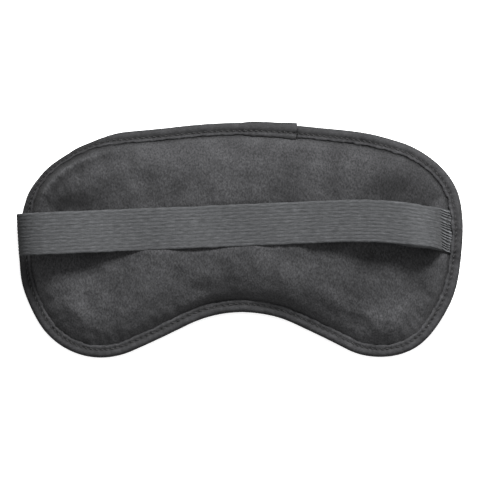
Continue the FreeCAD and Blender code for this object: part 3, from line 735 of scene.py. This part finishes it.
def band_middle(x):
    """Y of the strap's middle line in plan: straight, then two bends down towards its right root."""
    start = BAND_TURN[0] - BAND_BEND * math.sin(BAND_SLOPE)
    start_y = BAND_TURN[1] + BAND_BEND * math.cos(BAND_SLOPE)
    line = start_y + (x - start) * math.tan(BAND_SLOPE)
    way = (BAND_END - BAND_TURN) / np.hypot(*(BAND_END - BAND_TURN))
    change = BAND_TURN[0] + BAND_BEND * way[0]
    first = BAND_TURN[1] + np.sqrt(np.maximum(BAND_BEND**2 - (x - BAND_TURN[0]) ** 2, 0))
    last = BAND_END[1] + np.sqrt(np.maximum(BAND_END_BEND**2 - (x - BAND_END[0]) ** 2, 0))
    return np.where(x < start, line, np.where(x < change, first, last))


# side view of the strap's middle line, from its tail under the left edge to its root at the right
STRAP_SIDE = [(-89.5, 1.35), (-97.0, 2.0), (-101.5, 2.45), (-104.0, 3.3), (-105.0, 6.0), (-105.0, 10.5),
              (-103.6, 15.4), (-100.0, 19.9), (-94.5, 22.7), (-86.0, 23.4), (-76.0, 22.7), (-62.0, 20.2),
              (-48.0, 17.9), (-36.0, 17.15), (0.0, 17.05), (18.0, 17.15), (30.0, 18.0), (44.0, 20.8),
              (57.0, 23.4), (68.0, 24.5), (80.0, 24.4), (87.0, 22.9), (91.3, 19.0), (94.2, 13.9),
              (96.6, 9.9), (98.6, 8.45), (100.6, 8.20), (102.4, 8.10), (104.2, 8.05)]


def from_to(a, b, t, start, end):
    """The point that t reaches on the way from a, at start, to b, at end."""
    return ((end - t) * a + (t - start) * b) / (end - start)


def strap_line(step):
    """Even points along the strap's side view, smoothed through its guide points."""
    guide = np.array(STRAP_SIDE)
    before, after = 2 * guide[0] - guide[1], 2 * guide[-1] - guide[-2]
    p = np.vstack([before, guide, after])
    fine = []
    for k in range(1, len(p) - 2):
        painted_gap_shade = [math.sqrt(np.hypot(*(p[k + j] - p[k + j - 1]))) for j in range(3)]
        knots = np.concatenate([[0], np.cumsum(painted_gap_shade)])
        t = np.linspace(knots[1], knots[2], 40, endpoint=False)[:, None]
        first, middle, last = [from_to(p[k + j - 1], p[k + j], t, knots[j], knots[j + 1]) for j in range(3)]
        early = from_to(first, middle, t, knots[0], knots[2])
        late = from_to(middle, last, t, knots[1], knots[3])
        fine.append(from_to(early, late, t, knots[1], knots[2]))
    fine = np.vstack([*fine, guide[-1:]])
    run = np.concatenate([[0], np.cumsum(np.hypot(*np.diff(fine, axis=0).T))])
    even = np.linspace(0, run[-1], int(run[-1] / step) + 1)
    return even, np.column_stack([np.interp(even, run, fine[:, 0]), np.interp(even, run, fine[:, 1])])


STRAP_RUN, STRAP_LINE = strap_line(0.55)


def under_strap(points):
    """The strap lies on the face panel between its two arches, and keeps it down a little."""
    x, y, z = points.T
    top = STRAP_LINE[int(np.argmin(STRAP_LINE[:, 0])):]
    most = np.interp(x, top[:, 0], top[:, 1]) - STRAP_CLOTH / 2 - 0.22
    here = between(y - band_middle(x), -STRAP_HALF, STRAP_HALF, 5) * (np.abs(x) < 85)
    over = z - most
    lower = most - 0.25 * np.log1p(np.exp(np.clip(-over, -30, 30) / 0.25))
    return raised(points, here * (np.minimum(z, lower) - z))


# ---------------- the two plush panels
def corner_fold(along, inset):
    """The slack cloth at the upper left: a soft ridge along the edge and a hollow behind it."""
    here = stretch(along, (-50, 51), (-103, 17), 26)
    ridge = 1.6 * hill(inset + 0.2 * drift(along, 30, 5), 8.2, 2.0)
    hollow = -1.3 * hill(inset + 0.8 * drift(along, 36, 6), 22.0, 7.0)
    return here, (ridge + hollow) * eased((inset - PANEL_RISE) / 1.8)


def arch_hollows(x, y):
    """The fill has moved aside under the strap's two arches."""
    return 2.6 * blob(x, y, (-82, 5), (22, 15)) + 2.4 * blob(x, y, (82, 7), (17, 14))


def face_relief(points):
    """The face panel's own unevenness, from big lumps of the fill to small creases at the seam."""
    x, y = points[:, 0], points[:, 1]
    along, inset = EDGE.find(points[:, :2])
    inner = eased((inset - PANEL_RISE) / 6)
    relief = 0.30 * lumps(x, y, 30, 21) + 0.16 * lumps(x, y, 13, 22) + 0.06 * lumps(x, y, 5.5, 23)
    relief += 0.032 * lumps(x, y, 2.6, 24, 40)
    relief -= arch_hollows(x, y)
    here, fold = corner_fold(along, inset)
    near = hill(inset, PANEL_RISE + 1.6, 3.0) * eased((inset - PANEL_RISE) / 1.0)
    puckers = near * (0.06 * drift(along, 9.5, 31) + 0.02 * drift(along, 4.8, 32))
    return raised(points, relief * inner + here * fold + puckers)


def under_root(points):
    """The strap's right root presses the face panel down just inside the tape."""
    inset = EDGE.find(points[:, :2])[1]
    here = between(points[:, 1], ROOT_LOW + 1.5, ROOT_HIGH - 1.5, 6) * (points[:, 0] > 60)
    most = SEAM + FLANGE + np.maximum(inset - 7.8, 0) * 1.0
    return raised(points, here * (np.minimum(points[:, 2], most) - points[:, 2]))


# how steeply each panel rises at its rim, and the power that levels it off
FACE_PUFF = (1.7, 0.60)
FRONT_PUFF = (2.1, 0.62)

# patches of painted shade (the negative ones, above and below the strap) and painted light (the positive
# ones, on the lower lobes) on the face panel: how much lighter, where, and their reach
PAINTED_SHADE_AND_LIGHT = [(-0.50, (-77, 20), (23, 8.5)), (-0.31, (76, 24), (21, 12)), (-0.16, (62, -20), (26, 9)),
       (-0.09, (45, 26), (32, 9)), (0.38, (66, -42), (28, 12)), (0.22, (-66, -36), (30, 15))]


def front_relief(points):
    """The front panel's own unevenness."""
    x, y = points[:, 0], points[:, 1]
    inner = eased((EDGE.find(points[:, :2])[1] - PANEL_RISE) / 6)
    return raised(points, inner * (0.22 * lumps(x, y, 26, 41) + 0.10 * lumps(x, y, 11, 42)))


def make_panel(name, material, side, spacing, seed):
    """One panel, puffed up by the fill: side is 1 for the face panel and -1 for the front panel."""
    flat, triangles, held = flat_cut([PANEL_RIM, PANEL_RISE], spacing, seed)
    share = membrane(flat, triangles, held)
    if side > 0:
        height = SEAM + FLANGE + CROWN * puffed(share, *FACE_PUFF)
    else:
        height = SEAM - FLANGE - (BELLY - FLANGE) * puffed(share, *FRONT_PUFF)
        triangles = [f[::-1] for f in triangles]
    piece = make_piece(name, np.column_stack([flat, height]), triangles, material)
    billow(piece, held)
    round_off(piece)
    points = points_of(piece.data)
    points = under_strap(under_root(face_relief(points))) if side > 0 else front_relief(points)
    put_points(piece.data, settle(points))
    thicken(piece, PANEL_CLOTH)
    lay_nap_and_painted_shade(piece, side, np.tile(points[:, :2], (2, 1)))
    return piece


def lay_nap_and_painted_shade(piece, side, flat):
    """A tone for which way the pile lies, with painted shade and painted light on the face panel; flat is
    where the cloth's two sides lie before the edge droops.
    """
    x, y = flat.T
    nap_and_painted_shade = 0.035 * lumps(x, y, 34, 111) + 0.028 * lumps(x, y, 15, 112)
    if side > 0:
        # painted shade above and below the strap, painted light on the lower lobes
        for lighter, middle, reach in PAINTED_SHADE_AND_LIGHT:
            nap_and_painted_shade += lighter * blob(x, y, middle, reach)
        along, inset = EDGE.find(flat)
        fold = stretch(along, (-72, 47), (-101, 25), 22)
        # painted shade in the groove along the tape's inner edge and on the slope at the upper left, then a
        # painted highlight along the ridge there and painted shade behind it
        nap_and_painted_shade -= 0.45 * hill(inset, 5.9, 0.9) + 0.22 * fold * hill(inset, 6.7, 0.9)
        nap_and_painted_shade += fold * (0.55 * hill(inset, 8.6, 1.0) - 0.22 * hill(inset, 12.0, 2.2))
    lay_weave(piece, x, y, np.clip(0.61 + nap_and_painted_shade, 0, 1))


FACE = make_panel("face_panel_plush", PLUSH, 1, 2.0, 1)
FRONT_PANEL = make_panel("front_panel_plush", FRONT, -1, 2.6, 2)
hand_over(FACE, "pillow", "plush_cloth", "face_panel")
hand_over(FRONT_PANEL, "pillow", "front_cloth", "front_panel")


# ---------------- the inner pouch and its fill
POUCH_RIM = 8.6
POUCH_SEAM = 11.6
LINING_PUFF = (1.6, 0.6)
POUCH = dict(rings=[POUCH_RIM, POUCH_SEAM], gap=0.3, rough=0.05, thickness=0.25, base=0.30)
BULK = dict(rings=[POUCH_SEAM + 0.8], gap=1.0, rough=0.12, thickness=0, base=0.0)


def make_lining(name, material, side, rings, gap, rough, thickness, base):
    """A layer inside the panels, which follows them at a distance."""
    flat, triangles, held = flat_cut(rings, 3.0, 3)
    share = puffed(membrane(flat, triangles, held), *LINING_PUFF)
    outside = height_over(FACE if side > 0 else FRONT_PANEL, flat, side)
    limit = outside - side * (PANEL_CLOTH + gap)
    low = SEAM + side * base
    height = low + (limit - low) * share + rough * lumps(flat[:, 0], flat[:, 1], 7, 51) * share
    if side < 0:
        triangles = [f[::-1] for f in triangles]
    piece = make_piece(name, np.column_stack([flat, height]), triangles, material)
    if thickness:
        round_off(piece)
        thicken(piece, thickness)
    return piece


def make_fill():
    """The seeds as one bulk, with a grainy skin."""
    points, faces = np.zeros((0, 3)), []
    for name, side in (("seed_bulk", 1), ("seed_lower", -1)):
        half = make_lining(name, SEEDS, side, **BULK)
        faces += [tuple(v + len(points) for v in p.vertices) for p in half.data.polygons]
        points = np.vstack([points, points_of(half.data)])
        bpy.data.objects.remove(half)
    bulk = make_piece("seed_bulk_grains", points, faces, SEEDS)
    weld = bulk.modifiers.new("weld", "WELD")
    weld.merge_threshold = 0.00002
    bake_modifiers(bulk)
    round_off(bulk)
    skin = points_of(bulk.data)
    draw = np.random.default_rng(61)
    skin += draw.normal(0, 0.09, skin.shape)
    put_points(bulk.data, skin)
    return bulk


pouch_face = make_lining("pouch_face_cotton", COTTON, 1, **POUCH)
pouch_front = make_lining("pouch_front_cotton", COTTON, -1, **POUCH)
seed_bulk = make_fill()
hand_over(pouch_face, "pillow", "pouch_cotton", "inner_pouch_face")
hand_over(pouch_front, "pillow", "pouch_cotton", "inner_pouch_front")
hand_over(seed_bulk, "pillow", "seed_fill", "seed_fill")
pouch_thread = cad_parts["pouch_seam_thread"]
pouch_thread.data.materials.clear()
pouch_thread.data.materials.append(PALE_THREAD)


# ---------------- the folded edge tape
OUTER_SIDE = [(-5.92, 0.96), (-5.82, 1.20), (-5.45, 1.34), (-4.95, 1.36), (-4.48, 1.26), (-4.00, 1.16),
              (-3.52, 1.28), (-2.95, 1.45), (-2.25, 1.54), (-1.65, 1.47), (-1.10, 1.24), (-0.60, 0.88),
              (-0.22, 0.46), (0.0, 0.0)]


def tape_section():
    """Outer and inner line of the folded tape from its face edge to its front edge, and the way out."""
    upper = np.array(OUTER_SIDE)
    outer = np.vstack([upper, (upper * (1, -1))[-2::-1]])
    step = np.gradient(outer, axis=0)
    out = np.column_stack([-step[:, 1], step[:, 0]]) / np.hypot(step[:, 0], step[:, 1])[:, None]
    inner = outer - out * TAPE_CLOTH * 0.8
    inner[0], inner[-1] = (-5.88, 0.72), (-5.88, -0.72)
    return outer, inner, out


OUTER, INNER, OUTWARD = tape_section()
TAPE_STEPS = 1584       # sections of the tape round the whole edge
LAP_STEPS = 96
LIP_START = 4.2         # how far in from the fold the tape's lip starts to stray
LIP_WIDTH = 1.7
ROOT_AT = (spot(105.6, ROOT_LOW), spot(105.6, ROOT_HIGH))
LAP_AT = (spot(LAP_END, 55), spot(LAP_START, 56))


def lap_lift(along):
    """How far the lapped free end stands off the tape below it, from where it rises to its flared cut."""
    away = along - LAP_AT[0]
    length = LAP_AT[1] - LAP_AT[0]
    return LAP_LIFT * eased((length + LAP_ROOT - away) / 7) + 0.55 * eased(1 - away / LAP_FLARE)


def tape_relief(along, n, top):
    """Unevenness of the tape's outer side: stitch dips, creases between them and a wandering lip."""
    phase = TURN * along / PITCH
    dip = hill(n, -STITCH_INSET, 0.75) * (0.12 + 0.12 * np.cos(phase) + 0.05 * drift(along, 9, 71))
    inner_half = hill(n, -5.15, 0.7) * (0.05 * np.cos(phase + math.pi) + 0.07 * drift(along, 5.2, 72))
    outer_half = hill(n, -2.2, 0.9) * (0.04 * np.cos(phase + math.pi + 0.6) + 0.07 * drift(along, 6.5, 73))
    relief = inner_half + outer_half - dip
    relief = relief + 0.10 * drift(along, 14, 74) * hill(n, -3.0, 2.4)
    if top:
        relief = relief + 1.30 * between(along, *ROOT_AT, 8.0) * eased((-n - 0.2) / 1.1)
    return relief


def tape_points(along, lift=None):
    """Points of the tape, one closed section at each place along the edge, and their own coordinates.

    With a lift it is the lapped end, which stands off the tape below it by that much."""
    wander = 0.13 * drift(along, 13, 75) + 0.09 * drift(along, 4.7, 76)
    if lift is not None:
        wander = wander + 0.45 * hill(along, LAP_AT[0] + 6, 12)

    def strayed(n):
        return n - wander * max(0.0, (-n - LIP_START) / LIP_WIDTH)

    def relief(n, h):
        return math.copysign(1.0, h) * tape_relief(along, n, h > 0) * min(1.0, abs(h) / 0.9)

    rise = 0.0 if lift is None else lift
    rows = [(strayed(n) + rise * out[0], h + relief(n, h) + rise * out[1])
            for (n, h), out in zip(OUTER, OUTWARD)]
    for k in reversed(range(len(INNER))):
        n, h = INNER[k]
        if lift is None:
            rows.append((strayed(n), h + relief(n, h)))
        else:
            over_n, over_h = rows[k]
            under_n, under_h = OUTER[k, 0], OUTER[k, 1] + relief(n, h)
            rows.append((over_n + (under_n - over_n) * 0.8, over_h + (under_h - over_h) * 0.8))
    n, h = (np.stack(column, 1) for column in zip(*rows))
    s, n, h = (part.ravel() for part in (np.broadcast_to(along[:, None], n.shape), n, h))
    return by_the_edge(s, -n, SEAM + h), s, n, h


# stretches of the tape with painted shade or painted light: how much lighter, their start and end, and their
# ramp
PAINTED_TAPE_SHADES = [(-0.10, (62, 49), (-62, 49), 20), (-0.34, (-62, 49), (-106, 6), 22),
               (-0.30, (-106, -4), (-97, -36), 18), (0.16, (44, -48), (96, -38), 20)]


def tape_tint(s, n, h):
    """Lighter along the tape's lip and fold, darker in its stitch row and holes; painted shade on its cut
    edges and on listed stretches, painted light on one.
    """
    holes = 0.5 + 0.5 * np.cos(TURN * (s - 1.5 * (n + STITCH_INSET)) / PITCH)
    tint = 0.46 + 0.26 * hill(n, -5.3, 0.5) + 0.06 * hill(n, -1.6, 0.8)
    tint = tint - hill(n, -STITCH_INSET, 0.7) * (0.18 + (0.15 + 0.07 * drift(s, 33, 77)) * holes)
    # painted shade at the brow, the upper left and the lower left, where the strap's shadow falls, and
    # painted light at the lower right
    for lighter, *where in PAINTED_TAPE_SHADES:
        tint = tint + lighter * stretch(s, *where)
    # painted shade on the cut edges that tuck in against the panel
    return np.where(np.abs(h) < 0.75, np.where(n > -0.9, 0.42, 0.2), tint)


def make_binding(name, along, faces, shift=0.0, lift=None):
    """A length of the tape; the shift moves its weave on."""
    points, s, n, h = tape_points(along, lift)
    piece = make_piece(name, points, faces, TAPE)
    lay_weave(piece, s + shift, n + 8 * np.sign(h), tape_tint(s, n, h))
    return outward(piece)


def outward(piece):
    """Turns the faces of a closed piece outwards."""
    work = bmesh.new()
    work.from_mesh(piece.data)
    bmesh.ops.recalc_face_normals(work, faces=work.faces)
    work.to_mesh(piece.data)
    work.free()
    return piece


tape = make_binding("edge_tape", np.arange(TAPE_STEPS) * EDGE.length / TAPE_STEPS,
                    grid_faces(TAPE_STEPS, 2 * len(OUTER), True, True))
# the free end of the tape, lapped over its start, with its square cut at the right
lapped = np.linspace(LAP_AT[0], LAP_AT[1] + LAP_ROOT, LAP_STEPS)
lap = make_binding("edge_tape_lap", lapped, capped_faces(LAP_STEPS, 2 * len(OUTER)), 40, lap_lift(lapped))
hand_over(tape, "pillow", "binding_tape", "edge_binding")
hand_over(lap, "pillow", "binding_tape")


# ---------------- threads
def tubes(name, lines, radius, flatten, material):
    """One mesh of many short closed tubes, each along its own line of points."""
    sides = 6
    points, faces = [], []
    for line in lines:
        step = unit(np.gradient(line, axis=0))
        side = unit(np.cross(step, (0.0, 0.0, 1.0)))
        up = np.cross(side, step)
        first = len(points)
        for k in range(len(line)):
            end = 0.45 if k in (0, len(line) - 1) else 1.0
            for j in range(sides):
                a = TURN * j / sides
                out = side[k] * math.cos(a) + up[k] * math.sin(a) * flatten
                points.append(line[k] + radius * end * out)
        faces += [tuple(first + v for v in f) for f in grid_faces(len(line), sides, False, True)]
        faces.append(tuple(first + j for j in range(sides)))
        last = first + (len(line) - 1) * sides
        faces.append(tuple(last + j for j in reversed(range(sides))))
    return outward(make_piece(name, np.array(points), faces, material))


def seam_stitches(name, side):
    """The row of stitches that holds the tape, on the face side or on the front."""
    draw = np.random.default_rng(81 if side > 0 else 82)
    reach = np.linspace(-1, 1, 9)
    lines = []
    for k in range(STITCHES):
        middle = (k + 0.5) * PITCH + draw.normal(0, 0.05)
        along = middle + reach * STITCH_LENGTH / 2
        inset = STITCH_INSET + draw.normal(0, 0.06) - reach * STITCH_SLANT
        surface = 1.12 + tape_relief(np.full(1, middle), -STITCH_INSET, side > 0)[0]
        lapped = between(np.array(middle), LAP_AT[0], LAP_AT[1] + 1, 2.0) if side > 0 else 0.0
        surface += float(lapped) * (LAP_LIFT + 0.5 * eased(1 - (middle - LAP_AT[0]) / LAP_FLARE))
        lift = side * (surface + 0.20 - 0.75 * np.abs(reach) ** 5)
        lines.append(by_the_edge(along, inset, SEAM + lift))
    return tubes(name, lines, THREAD, 0.8, DARK_THREAD)


needle_thread = seam_stitches("edge_stitches_face", 1)
bobbin_thread = seam_stitches("edge_stitches_front", -1)
hand_over(needle_thread, "pillow", "dark_thread", "binding_needle_thread")
hand_over(bobbin_thread, "pillow", "dark_thread", "binding_bobbin_thread")


FRAYS = 16


def make_frays():
    """A few loose fibres at the cut end of the lapped tape."""
    draw = np.random.default_rng(91)
    t = np.linspace(0, 1, 5)
    lines = []
    for _ in range(FRAYS):
        n = -1.0 - 4.6 * draw.random()
        curl = draw.normal(0, 0.35)
        along = LAP_AT[0] + 0.15 - (0.5 + 0.9 * draw.random()) * t
        height = SEAM + 2.55 - 0.25 * t - 0.35 * (n < -4.4)
        lines.append(by_the_edge(along, -n + curl * t**2, height))
    return tubes("edge_tape_frays", lines, 0.07, 1.0, ELASTIC)


hand_over(make_frays(), "pillow", "binding_tape")


# ---------------- the ribbed elastic strap
MIDDLE = int(np.argmin(np.abs(STRAP_LINE[:, 0])))
WRAP = int(np.argmin(STRAP_LINE[:, 0]))
ACROSS = 97

# the strap's tack stitches: how many there are in a row, and how far the rows are from the end of the strap
ROOT_TACKS, ROOT_ROWS = 13, (5.3, 6.3)
TAIL_TACKS, TAIL_ROWS = 9, (2.0, 4.6)
TACKS_WIDE = 19.0
TUCKED = 1.0            # length of the strap's root that lies out of sight


def rib_height(v, run, to_root, from_fold):
    """Relief of one side of the strap at a share v of its width, and its painted shade and painted
    highlights.
    """
    wander = 0.0010 * drift(run, 40, 101) + 0.0022 * lumps(run, v * 20, 9, 102)
    ribs = np.abs(np.sin(math.pi * (v + wander) * RIBS)) ** 0.7
    strength = 0.105 + 0.04 * lumps(run, v * 90, 7, 103)
    gather = eased((13.5 - to_root) / 6.0)
    slant = v * 15.0 + 0.06 * to_root + 0.12 * drift(v * 20, 6, 104)
    ridges = 0.5 + 0.5 * np.cos(TURN * slant)
    relief = strength * (ribs - 0.6) * (1 - gather) + 0.50 * gather * (ridges - 0.5)
    holes = sum(hill(to_root, row - TUCKED, 0.35) for row in ROOT_ROWS)
    pricks = np.abs(np.sin(math.pi * v * ROOT_TACKS)) ** 0.6
    relief = relief - 0.30 * holes * (1 - pricks)
    relief = relief + 0.10 * np.exp(-from_fold / 4.0) * (ribs - 0.5)
    # painted shade in the rib grooves, between the gathered ridges and near the fold; the bright ridge peaks
    # at the root are a painted highlight; tack holes are darker
    shade = (1 - gather) * (0.34 + 0.44 * ribs**0.6) + gather * (0.32 + 0.68 * ridges**1.2)
    shade = shade * (1 - 0.8 * holes * (1 - pricks)) * (1 - 0.10 * np.exp(-from_fold / 5.0))
    return relief, np.clip(shade, 0, 1)


def strap_frame(chosen):
    """The strap's middle at those places of its line, and the directions across it and up from it."""
    step = np.gradient(STRAP_LINE, axis=0)
    step /= np.hypot(*step.T)[:, None]
    x, z = STRAP_LINE[chosen].T
    tx, tz = step[chosen].T
    lean = math.tan(BAND_SLOPE) * (1 - eased((x + 20) / 90))
    width = unit(np.column_stack([-lean, np.ones_like(lean), np.zeros_like(lean)]))
    up = np.cross(unit(np.column_stack([tx, tx * lean, tz])), width)
    level = eased((99.0 - x) / 5.0)
    roll = level * (0.24 * hill(x, 86, 7) * (x > 0) + 0.03 * drift(x, 60, 105))
    cos, sin = np.cos(roll)[:, None], np.sin(roll)[:, None]
    centre = np.column_stack([x, band_middle(x), z])
    return centre, width * cos - up * sin, up * cos + width * sin


def strap_rows(first, last):
    """Closed sections of the strap between two places of its line, and their cloth coordinates."""
    chosen = slice(first, last + 1)
    centre, width, up = strap_frame(chosen)
    x, here = centre[:, 0], STRAP_RUN[chosen]
    to_root = np.maximum(STRAP_RUN[-1] - here - TUCKED, 0)
    from_fold = np.abs(here - STRAP_RUN[WRAP])
    v = np.linspace(0, 1, ACROSS)
    edge_wave = 0.05 * drift(here, 12, 106) + 0.02 * drift(here, 4, 107)
    curl = 0.85 * between(x, 76, 93, 8)
    flare = 0.35 * np.exp(-to_root / 4.0)
    points, s_all, t_all, tint = [], [], [], []
    for side in (1, -1):
        order = v if side > 0 else v[::-1]
        relief, shade = rib_height(order[None, :], here[:, None], to_root[:, None], from_fold[:, None])
        round_edge = np.sqrt(np.clip(1 - np.abs(2 * order - 1) ** 26, 0, 1))
        half = STRAP_HALF + edge_wave[:, None] * np.abs(2 * order - 1) ** 4 + flare[:, None]
        reach = (1 - 2 * order)[None, :] * half
        if side < 0:
            reach = reach - curl[:, None] * np.clip(2 * order - 1, 0, 1) ** 6
        hidden = eased((4.2 - to_root) / 1.4)[:, None]
        relief = relief * (1 - 0.8 * hidden)
        thick = (STRAP_CLOTH / 2 * (1 - 0.3 * hidden) + relief) * (0.12 + 0.88 * round_edge)[None, :]
        block = centre[:, None, :] + width[:, None, :] * reach[..., None]
        block = (block + up[:, None, :] * (side * thick)[..., None]).reshape(-1, 3)
        near_root = block[:, 0] > 80
        block[near_root] = settle(block[near_root])
        points.append(block.reshape(*reach.shape, 3))
        s_all.append(np.broadcast_to(here[:, None], reach.shape))
        t_all.append(reach + side * 30)
        tint.append(shade)
    return [np.concatenate(sides, 1).reshape(-1, *sides[0].shape[2:])
            for sides in (points, s_all, t_all, tint)]


def make_band(name, first, last):
    """One piece of the strap, with a sharp rim at each of its cut ends."""
    points, s, t, tint = strap_rows(first, last)
    rows, columns = last - first + 1, 2 * ACROSS
    piece = outward(make_piece(name, points, capped_faces(rows, columns), ELASTIC))
    for edge in piece.data.edges:
        if max(edge.vertices) < columns or min(edge.vertices) >= (rows - 1) * columns:
            edge.use_edge_sharp = True
    lay_weave(piece, s, t, tint)
    return piece


strap_wrap = make_band("strap_wrap", 0, WRAP)
strap_left = make_band("strap_left", WRAP, MIDDLE)
strap_right = make_band("strap_right", MIDDLE, len(STRAP_LINE) - 1)


def tack_row(run_place, count):
    """Stitches in a row across the strap."""
    k = int(np.argmin(np.abs(STRAP_RUN - run_place)))
    x, z = STRAP_LINE[k]
    step = STRAP_LINE[min(k + 1, len(STRAP_LINE) - 1)] - STRAP_LINE[k - 1]
    step /= np.hypot(*step)
    up = np.array([-step[1], step[0]])
    middle = float(band_middle(np.array(x)))
    reach = np.linspace(-1, 1, 7)
    lift = STRAP_CLOTH / 2 + 0.10 - 0.45 * np.abs(reach) ** 4
    lines = []
    for j in range(count):
        y = middle + (j + 0.5 - count / 2) * (TACKS_WIDE / count)
        lines.append(np.column_stack([x + up[0] * lift, y + reach * 0.62, z + up[1] * lift]))
    return lines


def make_tacks():
    """Two rows of stitches at the strap's right root, and two at its left tail."""
    right = [line for row in ROOT_ROWS for line in tack_row(STRAP_RUN[-1] - row, ROOT_TACKS)]
    left = [line for row in TAIL_ROWS for line in tack_row(row, TAIL_TACKS)]
    return (tubes("root_tack_stitches", right, 0.16, 0.9, DARK_THREAD),
            tubes("tail_tack_stitches", left, 0.18, 0.9, DARK_THREAD))


root_tacks, tail_tacks = make_tacks()
hand_over(root_tacks, "pillow", "dark_thread", "strap_tack_right")
hand_over(tail_tacks, "pillow", "dark_thread", "strap_tack_left")
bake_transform(strap_left)
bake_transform(strap_right)
hand_over(strap_wrap, "pillow", "strap_elastic", "strap_left_tail")
hand_over(strap_left, None, "strap_elastic", "strap_left_fall", "strap_span")
hand_over(strap_right, None, "strap_elastic", "strap_right_rise", "strap_right_root")


# ---------------- floor, light and camera
def make_floor():
    side = np.linspace(-4000.0, 4000.0, 9)
    x, y = np.meshgrid(side, side)
    floor = make_piece("floor", np.column_stack([x.ravel(), y.ravel(), np.zeros(x.size)]),
                       grid_faces(9, 9), floor_paper())
    floor.visible_diffuse = False
    floor.visible_glossy = False


def make_light(name, place, size, power):
    """A round lamp that points at the pillow."""
    lamp = bpy.data.lights.new(name, "AREA")
    lamp.shape = "DISK"
    lamp.size = size
    lamp.energy = power
    holder = add_object(name, lamp)
    holder.location = place
    holder.rotation_euler = (-Vector(place)).to_track_quat("-Z", "Y").to_euler()


def make_camera():
    """Straight above the pillow with a long lens, which takes in 228.5 mm at the pillow's middle height."""
    lens = bpy.data.cameras.new("camera")
    away, middle, wide = 1.30, 0.009, 0.2285
    lens.sensor_width = 36.0
    lens.lens = 36.0 * away / wide
    holder = add_object("camera", lens)
    holder.location = (0.0001, 0.0002, away + middle)
    bpy.context.scene.camera = holder


def make_studio():
    """A white sky above a black one, the floor, a key light and a wide soft fill."""
    world = bpy.data.worlds.new("studio")
    world.use_nodes = True
    nodes, links = world.node_tree.nodes, world.node_tree.links
    parts = nodes.new("ShaderNodeSeparateXYZ")
    ramp = nodes.new("ShaderNodeValToRGB")
    low, high = ramp.color_ramp.elements
    low.position, high.position = 0.47, 0.495
    low.color, high.color = (0, 0, 0, 1), (1, 1, 1, 1)
    shift = nodes.new("ShaderNodeMath")
    shift.operation = "MULTIPLY_ADD"
    shift.inputs[1].default_value = shift.inputs[2].default_value = 0.5
    links.new(nodes.new("ShaderNodeTexCoord").outputs["Generated"], parts.inputs[0])
    links.new(parts.outputs["Z"], shift.inputs[0])
    links.new(shift.outputs[0], ramp.inputs[0])
    links.new(ramp.outputs[0], nodes["Background"].inputs["Color"])
    nodes["Background"].inputs["Strength"].default_value = 0.72
    bpy.context.scene.world = world
    bpy.context.scene.view_settings.view_transform = "Standard"
    make_floor()
    make_light("key", (0.38, 1.16, 0.90), 0.48, 70.0)
    make_light("fill", (0.2, 0.1, 1.9), 1.8, 6.0)
    make_camera()


make_studio()
